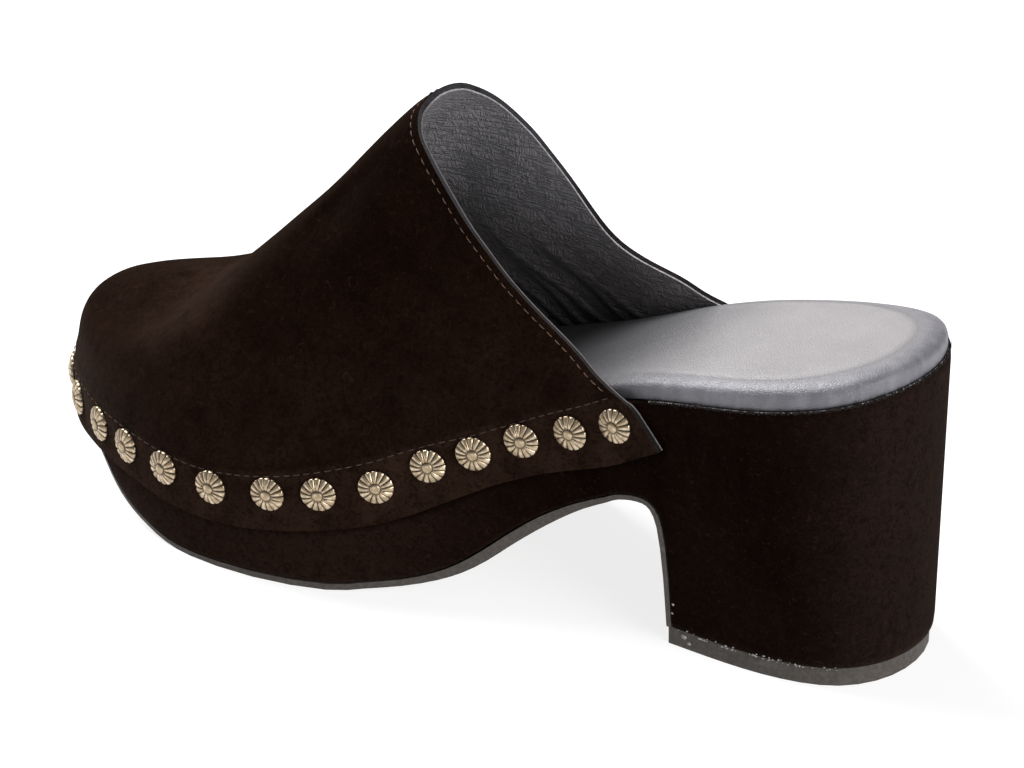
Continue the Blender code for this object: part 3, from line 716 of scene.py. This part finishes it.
SUEDE = suede_material()
COVER = cover_material()
CUT_EDGE = edge_material()
LINING_EDGE = pale_edge_material()
LINING = lining_material()
FOOTBED_SKIN = footbed_material()
RUBBER = rubber_material()
THREAD = thread_material("thread_brown", (0.050, 0.030, 0.022), (0.150, 0.098, 0.076))
DARK_THREAD = thread_material("thread_dark", (0.020, 0.012, 0.009), (0.060, 0.040, 0.030))
STUD_METAL = stud_material()
GLUE = glue_material()
FIBRE = thread_material("fibre_suede", (0.004, 0.0025, 0.002), (0.030, 0.024, 0.022))


# Meshes
def smooth_mesh(name, vertices, faces, materials, slots=None):
    mesh = bpy.data.meshes.new(name)
    mesh.from_pydata([tuple(v) for v in vertices], [], faces)
    for made in materials:
        mesh.materials.append(made)
    if slots is not None:
        mesh.polygons.foreach_set("material_index", slots)
    work = bmesh.new()
    work.from_mesh(mesh)
    bmesh.ops.recalc_face_normals(work, faces=work.faces)
    work.to_mesh(mesh)
    work.free()
    mesh.shade_smooth()
    return mesh


def point_values(mesh, name, values):
    layer = mesh.attributes.new(name, "FLOAT", "POINT")
    layer.data.foreach_set("value", np.array(values, np.float32))


def add_object(name, data):
    thing = bpy.data.objects.new(name, data)
    bpy.context.scene.collection.objects.link(thing)
    return thing


def mesh_object(name, vertices, faces, materials, slots=None):
    return add_object(name, smooth_mesh(name, np.asarray(vertices) + SHIFT, faces, materials, slots))


def tube(start, rings, around, ends=True):
    """Faces round a tube of rings of points, and over its two ends."""
    faces = []
    for first in range(start, start + (rings - 1) * around, around):
        for k in range(around):
            a, b = first + k, first + (k + 1) % around
            faces.append((a, b, b + around, a + around))
    if ends:
        last = start + (rings - 1) * around
        faces.append(tuple(range(start, start + around))[::-1])
        faces.append(tuple(range(last, last + around)))
    return faces


def shell(name, outer, inner, finishes, attribute, values):
    """Closed shell between two grids, whose halves meet along the crest."""
    rows, cols, _ = outer.shape
    crest = rows - 1
    vertices, marks, lookup = [], [], {}
    faces, slots = [], []

    def add(layer, r, c):
        if r == crest:
            c = min(c, cols - 1 - c)
        if (layer, r, c) not in lookup:
            lookup[layer, r, c] = len(vertices)
            vertices.append((outer, inner)[layer][r, c])
            marks.append(values[r, c])
        return lookup[layer, r, c]

    for layer in (0, 1):
        for r in range(crest):
            for c in range(cols - 1):
                corners = ((r, c), (r, c + 1), (r + 1, c + 1), (r + 1, c))
                quad = list(dict.fromkeys(add(layer, *corner) for corner in corners))
                if len(quad) > 2:
                    faces.append(quad[::-1] if layer else quad)
                    slots.append(2 * layer)
    edge = [(r, 0) for r in range(crest, 0, -1)] + [(0, c) for c in range(cols - 1)]
    edge += [(r, cols - 1) for r in range(crest)]
    for spot, following in zip(edge, edge[1:] + edge[:1]):
        if add(0, *spot) != add(0, *following):
            faces.append([add(0, *following), add(0, *spot), add(1, *spot), add(1, *following)])
            slots.append(1)
    thing = mesh_object(name, vertices, faces, finishes, slots)
    thing.data.set_sharp_from_angle(angle=math.radians(55))
    point_values(thing.data, attribute, marks)
    return thing


def upper_paler_and_highlight(grid):
    """Paler suede along the margin and the flank's foot, and a painted highlight on the toe's top."""
    rise = np.maximum(0.0, grid[:, :, 2] - grid[MARGIN_ROWS, :, 2][None, :])
    ahead = np.clip((grid[:, :, 0] / LENGTH - 0.72) / 0.14, 0.0, 1.0)
    low = np.where(rise > 0, 0.26 * fold(rise, 0.030), 0.66)
    # painted highlight on the toe's top
    top = 0.72 * ahead * np.clip((rise - 0.012) / 0.020, 0.0, 1.0)
    return np.maximum(low, top)


def upper_relief(grid):
    """Depth of the seam's groove and of the soft waves of the suede."""
    groove = fold(grid[:, :, 2] - grid[MARGIN_ROWS, :, 2][None, :], GROOVE_WIDTH)
    groove[MARGIN_ROWS + FLANK_ROWS // 3:] = 0
    depth = GROOVE_DEPTH * groove
    rows, cols, _ = grid.shape
    for r in range(MARGIN_ROWS + 1, rows):
        grow = min(1.0, (r - MARGIN_ROWS) / (0.12 * FLANK_ROWS))
        for c in range(cols):
            spot = Vector(grid[r, c])
            wave = noise.noise(spot * 46.0) + 0.35 * noise.noise(spot * 120.0)
            depth[r, c] += WAVE_DEPTH * grow * wave
    return depth


def lining_relief(grid):
    """The lining's folds over the footbed: how far they stand out, and the painted shade in the creases
    beside them.
    """
    rows, cols, _ = grid.shape
    foot = grid[0, :, 0]
    rise = np.clip(grid[:, :, 2] - grid[MARGIN_ROWS, :, 2][None, :], 0.0, 1.0)
    swell = np.zeros((rows, cols))
    crease_shade = np.zeros((rows, cols))
    for n, (station, reach, height) in enumerate(LINING_FOLDS):
        lean = 0.16 * (1 if n % 2 else -1) * rise
        beside = foot[None, :] + lean - station * LENGTH
        fade = fold(rise, height) * np.clip(rise / 0.002, 0.0, 1.0)
        swell += FOLD_DEPTH * fold(beside, reach) * fade
        # painted shade along both sides of each fold
        crease_shade = np.maximum(crease_shade, 0.75 * fold(np.abs(beside) - 1.25 * reach, 0.0011) * fade)
    return swell, crease_shade


def build_upper():
    grid = upper_surface()
    normal = grid_normals(grid)
    outer = grid - normal * upper_relief(grid)[:, :, None]
    middle = grid - normal * SUEDE_SKIN
    swell, crease_shade = lining_relief(grid)
    inside = grid - normal * (UPPER_WALL + swell)[:, :, None]
    skin = shell("upper_suede", outer, middle, [SUEDE, CUT_EDGE, SUEDE], "paler_and_highlight", upper_paler_and_highlight(grid))
    lining = shell("upper_lining", middle - normal * 0.00004, inside,
                   [LINING_EDGE, LINING_EDGE, LINING], "crease_shade", crease_shade)
    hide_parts("upper")
    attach(skin, "root")
    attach(lining, "root")
    return grid, normal


def loft(name, rings, materials):
    """Closed mesh through rings of equal count, capped from side to side."""
    count = len(rings[0])
    vertices = [point for ring in rings for point in ring]
    faces = tube(0, len(rings), count, ends=False)
    half = count // 2
    for first in (0, (len(rings) - 1) * count):
        faces.append((first, first + 1, first + count - 1))
        for i in range(1, half - 1):
            faces.append((first + i, first + i + 1, first + count - i - 1, first + count - i))
        faces.append(tuple(range(first + half - 1, first + half + 2 + count % 2)))
    return mesh_object(name, vertices, faces, materials)


def wall_rows(steps):
    """Rows of a covered wall: share of height and inward step, edges rounded."""
    rows = [(0.0, 3.0 * COVER_EDGE), (0.0, COVER_EDGE), ("low", 0.35 * COVER_EDGE)]
    rows += [(k / steps, 0.0) for k in range(1, steps)]
    rows += [("high", 0.35 * COVER_EDGE), (1.0, COVER_EDGE), (1.0, 3.0 * COVER_EDGE)]
    return rows


def margin_shade(x, z):
    """Dark line right under the upper's margin."""
    if x < MARGIN_REAR * LENGTH - 0.001:
        return 0.0
    return float(fold(margin_foot(x) - z - 0.0002, 0.0014))


def covered_wall(name, node, steps, inner_at, low_of):
    """Cover of the heel or platform, from the inner side's places in each row."""
    rings = []
    for kind, inward in wall_rows(steps):
        inner = inner_at(kind)
        ring = []
        for t, along in inner + [(outline_t(x / LENGTH, -1), x) for _, x in inner[:0:-1]]:
            low, high = low_of(along), seat(along)
            if kind == "low":
                z = low + 0.35 * COVER_EDGE
            elif kind == "high":
                z = high - 0.35 * COVER_EDGE
            else:
                z = low + (high - low) * kind
                if 0 < kind < 1:
                    z = min(max(z, low + COVER_EDGE), high - COVER_EDGE)
            x = outline(t)[0]
            spot = outline_at(t, -taper(x) * (1 - z / seat(x)) - inward)
            ring.append((spot[0], spot[1], z))
        rings.append(ring)
    thing = loft(name, rings, [COVER])
    point_values(thing.data, "shade", [margin_shade(x, z) for ring in rings for x, _, z in ring])
    thing.data.set_sharp_from_angle(angle=math.radians(60))
    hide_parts(node)
    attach(thing, "root")


def under_height(x):
    return float(np.interp(x, UNDER[:, 0], UNDER[:, 1]))


SEAM_HIGH = np.array((SEAM_TOP * LENGTH, seat(SEAM_TOP * LENGTH)))
SEAM_LOW = np.array((SEAM_FOOT * LENGTH, tread_share(SEAM_FOOT) * seat(SEAM_FOOT * LENGTH)))


def seam_x(z):
    lean = (SEAM_HIGH[0] - SEAM_LOW[0]) / (SEAM_HIGH[1] - SEAM_LOW[1])
    return SEAM_LOW[0] + lean * (z - SEAM_LOW[1])


def seam_crossing(share, low_of, step):
    """Station in metres where the seam crosses a row of a covered wall."""
    def before(x):
        return x < seam_x(low_of(x) + (seat(x) - low_of(x)) * share) + step

    return crossing(before, 0.06, 0.14, 40)


def row_share(kind):
    return {"low": 0.0, "high": 1.0}.get(kind, kind)


def platform_cover():
    count = 150

    def inner_at(kind):
        start = outline_t(seam_crossing(row_share(kind), under_height, GAP / 2) / LENGTH, 1)
        places = [TIP + (start - TIP) * (i / count) ** 1.3 for i in range(count + 1)]
        return [(t, outline(t)[0]) for t in places]

    covered_wall("platform_cover", "platform", 24, inner_at, under_height)


def heel_cover():
    count = 110
    breast = UNDER[0][0]
    bends = [x for x in UNDER[:, 0] if x < 0.075]

    def low_of(x):
        return LIFT_THICKNESS + GAP if x <= breast else under_height(x)

    def inner_at(kind):
        end = seam_crossing(row_share(kind), low_of, -GAP / 2)
        stations = list(np.linspace(0, 1, count) ** 1.6 * (breast - 0.0001))
        stations += bends + [(a + b) / 2 for a, b in zip(bends, bends[1:])]
        stations += list(np.linspace(max(stations), end, 16)[1:])
        return [(outline_t(x / LENGTH, 1), x) for x in sorted(stations)]

    covered_wall("heel_cover", "heel", 30, inner_at, low_of)


def footbed_pad():
    """Padded leather footbed, crowned, with a pressed line round its top."""
    count = 220
    inner = [TIP * i / count for i in range(count + 1)]
    outer = [1 + (TIP - 1) * i / count for i in range(1, count)]
    parameters = inner + outer[::-1]

    def inset(x):
        return FOOTBED_INSET + (FOOTBED_TUCK - FOOTBED_INSET) * ease(x / LENGTH, 0.22, 0.34)

    def rounding(x):
        return (HEEL_ROUND + (FOOTBED_ROUND - HEEL_ROUND) * ease(x / LENGTH, 0.03, 0.15)) / FOOTBED_ROUND

    # inward step and share of the thickness, lift, then wall and seam shares
    rows = (
        (0.0006, 0.00, 0.0, 1.0, 0.8), (0.0001, 0.04, 0.0, 1.0, 0.5), (0.0000, 0.12, 0.0, 1.0, 0.0),
        (0.0000, 0.28, 0.0, 1.0, 0.0), (0.0000, 0.48, 0.0, 1.0, 0.0), (0.0002, 0.62, 0.0, 1.0, 0.0),
        (0.0006, 0.73, 0.0, 1.0, 0.0), (0.0012, 0.81, 0.0, 1.0, 0.0), (0.0020, 0.875, 0.0, 0.9, 0.0),
        (0.0030, 0.925, 0.0, 0.7, 0.0), (0.0040, 0.955, 0.0, 0.5, 0.2), (FOOTBED_SEAM, 0.965, 0.0, 0.3, 0.5),
        (0.0053, 0.980, 0.0, 0.1, 0.2), (0.0062, 0.997, 0.0001, 0.0, 0.0),
        (0.0080, 1.0, 0.0003, 0.0, 0.0), (0.0105, 1.0, 0.0005, 0.0, 0.0), (0.0140, 1.0, 0.0007, 0.0, 0.0),
        (0.0180, 1.0, 0.0008, 0.0, 0.0),
    )
    rings = []
    for step, share, lift, _, _ in rows:
        ring = []
        for t in parameters:
            x = outline(t)[0]
            narrow = rounding(x) if x / LENGTH < 0.9 else 0.8
            draw = min(step, 0.006) * narrow + max(0.0, step - 0.006)
            spot = outline_at(t, -inset(x) - draw)
            thick = footbed_share(spot[0] / LENGTH) * FOOTBED_THICKNESS
            ring.append((spot[0], spot[1], seat(spot[0]) + GAP + share * thick + lift))
        rings.append(ring)
    pad = loft("footbed_pad", rings, [FOOTBED_SKIN])
    for name, index in (("wall", 3), ("seam", 4)):
        point_values(pad.data, name, np.repeat(column(rows, index), len(parameters)))
    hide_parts("footbed")
    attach(pad, "root")


def round_heel(share):
    """Outline parameter by share of the way round the heel, from inner to outer side."""
    start, end = outline_t(GLUE_END, 1), outline_t(GLUE_END, -1)
    return (start + (end - 1 - start) * share) % 1.0


def glue_line():
    """Line of dried glue under the footbed."""
    around, steps = 5, 420
    vertices = []
    for i in range(steps + 1):
        t = round_heel(i / steps)
        lump = noise.noise(Vector((i * 0.23, 4.0, 0.0)))
        radius = GLUE_RADIUS * (1.0 + 0.8 * lump)
        out = outline_at(t, 1.0) - outline(t)
        centre = outline_at(t, -0.00075)
        high = seat(outline(t)[0]) + GLUE_RADIUS
        for k in range(around):
            turn = 2 * math.pi * k / around
            step = out * radius * math.cos(turn)
            vertices.append((centre[0] + step[0], centre[1] + step[1], high + radius * math.sin(turn)))
    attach(mesh_object("glue_line", vertices, tube(0, steps + 1, around), [GLUE]), "root")


def suede_fibres():
    """Fibres of the cover's upper edge, standing by the footbed's foot."""
    chance = np.random.default_rng(11)
    vertices, faces = [], []
    for _ in range(FIBRES):
        t = round_heel(chance.random())
        place = outline_at(t, -0.0002 - 0.0005 * chance.random())
        ahead = outline_at(t + 0.001) - outline_at(t)
        ahead /= np.linalg.norm(ahead)
        out = np.array((-ahead[1], ahead[0]))
        low = seat(outline(t)[0]) - 0.0002
        wide = 0.00010 + 0.00010 * chance.random()
        tall = 0.0007 + 0.0014 * chance.random() ** 2
        lean = (chance.random() - 0.5) * 1.6 * tall
        push = 0.0002 * chance.random()
        first = len(vertices)
        for along, across in ((-wide, 0.0), (0.0, -wide), (wide, 0.0), (0.0, wide)):
            spot = place + ahead * along + out * across
            vertices.append((spot[0], spot[1], low))
        tip = place + ahead * lean + out * push
        vertices.append((tip[0], tip[1], low + tall))
        faces += [(first + k, first + (k + 1) % 4, first + 4) for k in range(4)]
        faces.append((first + 3, first + 2, first + 1, first))
    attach(mesh_object("suede_fibres", vertices, faces, [FIBRE]), "root")


def glue_flecks():
    """Flecks of glue along the heel's lower edge and up its breast."""
    chance = np.random.default_rng(5)
    spots = list(GLUE_SPOTS)
    for _ in range(GLUE_FLECKS):
        spots.append((0.05 + 0.18 * chance.random(), LIFT_THICKNESS + 0.0010 * chance.random() ** 2,
                      0.00016 + 0.00026 * chance.random()))
    vertices, faces = [], []
    for station, high, size in spots:
        t = outline_t(station, 1)
        x = outline(t)[0]
        draw = taper(x) * (1 - high / seat(x)) + (LIFT_INSET if high < LIFT_THICKNESS else 0.0)
        place = outline_at(t, 0.00003 - draw)
        ahead = outline_at(t + 0.001) - outline_at(t)
        ahead /= np.linalg.norm(ahead)
        out = np.array((-ahead[1], ahead[0]))
        sides = 7
        first = len(vertices)
        vertices.append((*(place + out * 0.00012), high))
        for grow, push in ((0.7, 0.00009), (1.0, -0.0001)):
            for k in range(sides):
                turn = 2 * math.pi * k / sides
                far = grow * size * (0.6 + 0.8 * noise.noise(Vector((station * 90, k * 1.3, 2.0))) ** 2)
                spot = place + ahead * far * math.cos(turn) * 1.4 + out * push
                vertices.append((spot[0], spot[1], high + far * math.sin(turn)))
        for k in range(sides):
            j = (k + 1) % sides
            faces.append((first, first + 1 + k, first + 1 + j))
            faces.append((first + 1 + k, first + 1 + sides + k, first + 1 + sides + j, first + 1 + j))
        faces.append(tuple(first + 1 + sides + k for k in range(sides)))
    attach(mesh_object("glue_flecks", vertices, faces, [GLUE]), "root")


def stud_mesh():
    """Rosette stud: round centre, petals parted by grooves, scalloped rim."""
    radius = STUD_DIAMETER / 2
    around = PETALS * 8
    marks = [0.0, 0.10, 0.19, 0.26, 0.30, 0.33, 0.37, 0.45, 0.56, 0.67, 0.78, 0.87, 0.93, 0.97, 1.0]
    vertices = [(0.0, 0.0, STUD_HEIGHT + 0.0002)]
    grooves = [0.0]
    for mark in marks[1:]:
        for k in range(around):
            turn = 2 * math.pi * k / around
            lobe = abs(math.sin(PETALS * turn / 2))
            body = STUD_HEIGHT * (1 - 0.62 * mark ** 2.4)
            height = body
            groove = 0.0
            if mark > 0.33:
                part = min(1.0, (mark - 0.33) / 0.08)
                cut = (1 - lobe ** 0.55) * part
                height -= 0.00038 * cut
                groove = min(1.0, 1.5 * max(0.0, 1 - lobe / 0.45)) * part
            if mark <= 0.30:
                height += 0.00020 * math.cos(mark / 0.30 * math.pi / 2)
            if 0.30 <= mark <= 0.37:
                height -= 0.00022
                groove = max(groove, 0.85 if mark < 0.35 else 0.4)
            reach = radius * mark
            if mark > 0.8:
                reach *= 1 - 0.045 * (1 - lobe ** 0.5) * (mark - 0.8) / 0.2
            if mark == 1.0:
                height = 0.00055
            vertices.append((reach * math.cos(turn), reach * math.sin(turn), height))
            grooves.append(groove)
    last = len(vertices) - around
    for k in range(around):
        x, y, _ = vertices[last + k]
        vertices.append((x, y, 0.0))
        grooves.append(0.6)
    faces = [(0, 1 + k, 1 + (k + 1) % around) for k in range(around)]
    faces += tube(1, len(marks), around, ends=False)
    faces.append(tuple(1 + (len(marks) - 1) * around + k for k in range(around)))
    mesh = smooth_mesh("stud_rosette", vertices, faces, [STUD_METAL])
    mesh.set_sharp_from_angle(angle=math.radians(50))
    point_values(mesh, "groove", grooves)
    return mesh


def stud_seat(t):
    face = UPPER_WALL + GAP
    middle = outline_at(t, face)
    away = (outline_at(t, face + STUD_DIAMETER) - middle) / STUD_DIAMETER
    near = [outline_at(t + k / 1000, face) for k in range(-12, 13)]
    near = [spot for spot in near if np.linalg.norm(spot - middle) < 0.6 * STUD_DIAMETER]
    bulge = max(float(np.dot(spot - middle, away)) for spot in near)
    return middle + away * (bulge + GAP), away


def build_studs():
    mesh = stud_mesh()
    spots = []
    for word, side in (("inner", 1), ("outer", -1)):
        for n, (station, drop) in enumerate(STUDS, 1):
            spots.append((f"stud_{word}_{n:02d}", outline_t(station, side), drop))
    first, last = outline_t(STUDS[-1][0], 1), outline_t(STUDS[-1][0], -1)
    for n in range(1, TOE_STUDS + 1):
        spots.append((f"stud_toe_{n:02d}", first + (last - first) * n / (TOE_STUDS + 1), STUDS[-1][1]))
    for n, (name, t, drop) in enumerate(spots):
        spot, away = stud_seat(t)
        away3 = Vector((away[0], away[1], 0.0))
        turn = away3.to_track_quat("Z", "Y").to_matrix().to_4x4()
        spin = Matrix.Rotation(0.37 * n, 4, "Z")
        place = Vector((spot[0] + SHIFT[0], spot[1], seat(spot[0]) - drop * STUD_DROP)) - 0.0002 * away3
        thing = add_object("rosette_" + name[5:], mesh)
        thing.matrix_world = Matrix.Translation(place) @ turn @ spin
        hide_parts(name)
        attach(thing, "root")


def stitch_piece(name, path, normals, seed, thread):
    """Row of short thread stitches along a path of points with normals."""
    path, normals = np.array(path), np.array(normals)
    run = run_length(path)
    around, rings = 6, 7
    vertices, faces = [], []
    count = int(run[-1] / STITCH_PITCH)

    def at(distance, values):
        return np.array([np.interp(distance, run, values[:, k]) for k in range(3)])

    for n in range(count):
        wobble = noise.noise(Vector((n * 1.7, seed, 0.3)))
        middle = (n + 0.5 + 0.12 * wobble) * STITCH_PITCH
        length = STITCH_LENGTH * (1 + 0.18 * noise.noise(Vector((n * 2.3, seed, 5.1))))
        start = len(vertices)
        for r in range(rings):
            share = r / (rings - 1)
            distance = middle + (share - 0.5) * length
            spot, out = at(distance, path), at(distance, normals)
            out /= np.linalg.norm(out)
            ahead = at(distance + 0.0004, path) - at(distance - 0.0004, path)
            ahead /= np.linalg.norm(ahead)
            side = np.cross(out, ahead)
            arch = math.sin(math.pi * share)
            thick = STITCH_RADIUS * (0.35 + 0.65 * arch ** 0.4)
            centre = spot + out * (0.00020 * arch - 0.00006)
            for k in range(around):
                turn = 2 * math.pi * k / around
                vertices.append(centre + thick * (side * math.cos(turn) + 0.8 * out * math.sin(turn)))
        faces += tube(start, rings, around)
    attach(mesh_object(name, vertices, faces, [thread]), "root")


def rib_spot(station, side, up):
    """Point and outward normal of a rib at a height above the seat line."""
    rib = Rib(station, side)
    high = seat(rib.foot[0]) + up
    share = crossing(lambda middle: rib.point(middle)[2] < high, -1.0, 0.3, 24)
    away = outline_at(outline_t(station, side), 1.0) - outline(outline_t(station, side))
    return rib.point(share), np.array((away[0], away[1], 0.15))


def build_stitches(grid, normal):
    # over the studs, along the fold between margin and flank
    up_at = flat_line(column(STITCH_LINE, 0), column(STITCH_LINE, 1))
    begin = outline_t(STITCH_LINE[0][0], 1)
    stations = [outline(begin + (TIP - begin) * i / 160)[0] / LENGTH for i in range(161)]
    spots = [rib_spot(station, 1, up_at(station)) for station in stations]
    spots += [rib_spot(station, -1, up_at(station)) for station in stations[-2::-1]]
    stitch_piece("stitches_margin", column(spots, 0), column(spots, 1), 2.0, DARK_THREAD)
    # along the collar, inside its edge
    rows, cols, _ = grid.shape

    def inside(r, order):
        line = grid[r, order]
        run = run_length(line)
        spot = [np.interp(COLLAR_STITCH, run, line[:, k]) for k in range(3)]
        out = [np.interp(COLLAR_STITCH, run, normal[r, order][:, k]) for k in range(3)]
        return spot, out

    half = list(range(12))
    back = list(range(cols - 1, cols - 13, -1))
    first = MARGIN_ROWS + 2
    spots = [inside(r, half) for r in range(first, rows)]
    spots += [inside(r, back) for r in range(rows - 2, first - 1, -1)]
    stitch_piece("stitches_collar", column(spots, 0), column(spots, 1), 7.0, THREAD)


def dress_rubber():
    for node in ("outsole", "top_lift"):
        thing = frame["nodes"][node]
        thing.data.materials.clear()
        thing.data.materials.append(RUBBER)
        bevel = thing.modifiers.new("edge", "BEVEL")
        bevel.width = 0.0004
        bevel.segments = 2
        bevel.limit_method = "ANGLE"
        bevel.angle_limit = math.radians(40)


skin_grid, skin_normal = build_upper()
platform_cover()
heel_cover()
footbed_pad()
glue_line()
suede_fibres()
glue_flecks()
build_studs()
build_stitches(skin_grid, skin_normal)
dress_rubber()


# Floor, light and camera
def build_stage():
    bpy.ops.mesh.primitive_plane_add(size=12.0, location=(0.1, 0.0, 0.0))
    floor = bpy.context.object
    floor.name = "studio_floor"
    n = Nodes("studio_white")
    n.set(Base_Color=(0.30, 0.30, 0.30), Roughness=0.9, Specular_IOR_Level=0.1,
          Emission_Color=(1.0, 1.0, 1.0), Emission_Strength=0.80)
    floor.data.materials.append(n.material)


def area_light(name, place, aim, size, power):
    light = bpy.data.lights.new(name, "AREA")
    light.shape = "DISK"
    light.size = size
    light.energy = power
    thing = add_object(name, light)
    thing.location = place
    thing.rotation_euler = (Vector(aim) - Vector(place)).to_track_quat("-Z", "Y").to_euler()


def build_light():
    world = bpy.data.worlds.new("studio_world")
    bpy.context.scene.world = world
    world.use_nodes = True
    background = world.node_tree.nodes["Background"].inputs
    background["Color"].default_value = (1.0, 1.0, 1.0, 1.0)
    background["Strength"].default_value = 0.27
    area_light("toe_top", (1.00, -0.20, 1.15), (0.09, 0.0, 0.05), 1.2, 46.0)
    area_light("heel", (-1.20, 0.35, 0.50), (0.00, 0.0, 0.05), 0.9, 16.0)


def build_camera():
    turn, rise, roll = map(math.radians, (CAMERA_TURN, CAMERA_RISE, CAMERA_ROLL))
    back = Vector((-math.sin(turn) * math.cos(rise), math.cos(turn) * math.cos(rise), math.sin(rise)))
    right = Vector((-math.cos(turn), -math.sin(turn), 0.0))
    up = back.cross(right)
    tilted_right = math.cos(roll) * right + math.sin(roll) * up
    tilted_up = -math.sin(roll) * right + math.cos(roll) * up
    data = bpy.data.cameras.new("photo_camera")
    camera = add_object("photo_camera", data)
    place = Vector(CAMERA_AIM) + Vector(SHIFT) + CAMERA_DISTANCE * back
    axes = Matrix((tilted_right, tilted_up, back)).transposed()
    camera.matrix_world = Matrix.Translation(place) @ axes.to_4x4()
    data.sensor_width = SENSOR
    data.lens = FOCAL_PIXELS / PHOTO_WIDTH * SENSOR
    data.shift_x, data.shift_y = (pixels / PHOTO_WIDTH for pixels in SHIFT_PIXELS)
    data.clip_start, data.clip_end = 0.1, 50.0
    bpy.context.scene.camera = camera
    bpy.context.scene.view_settings.view_transform = "Standard"


build_stage()
build_light()
build_camera()
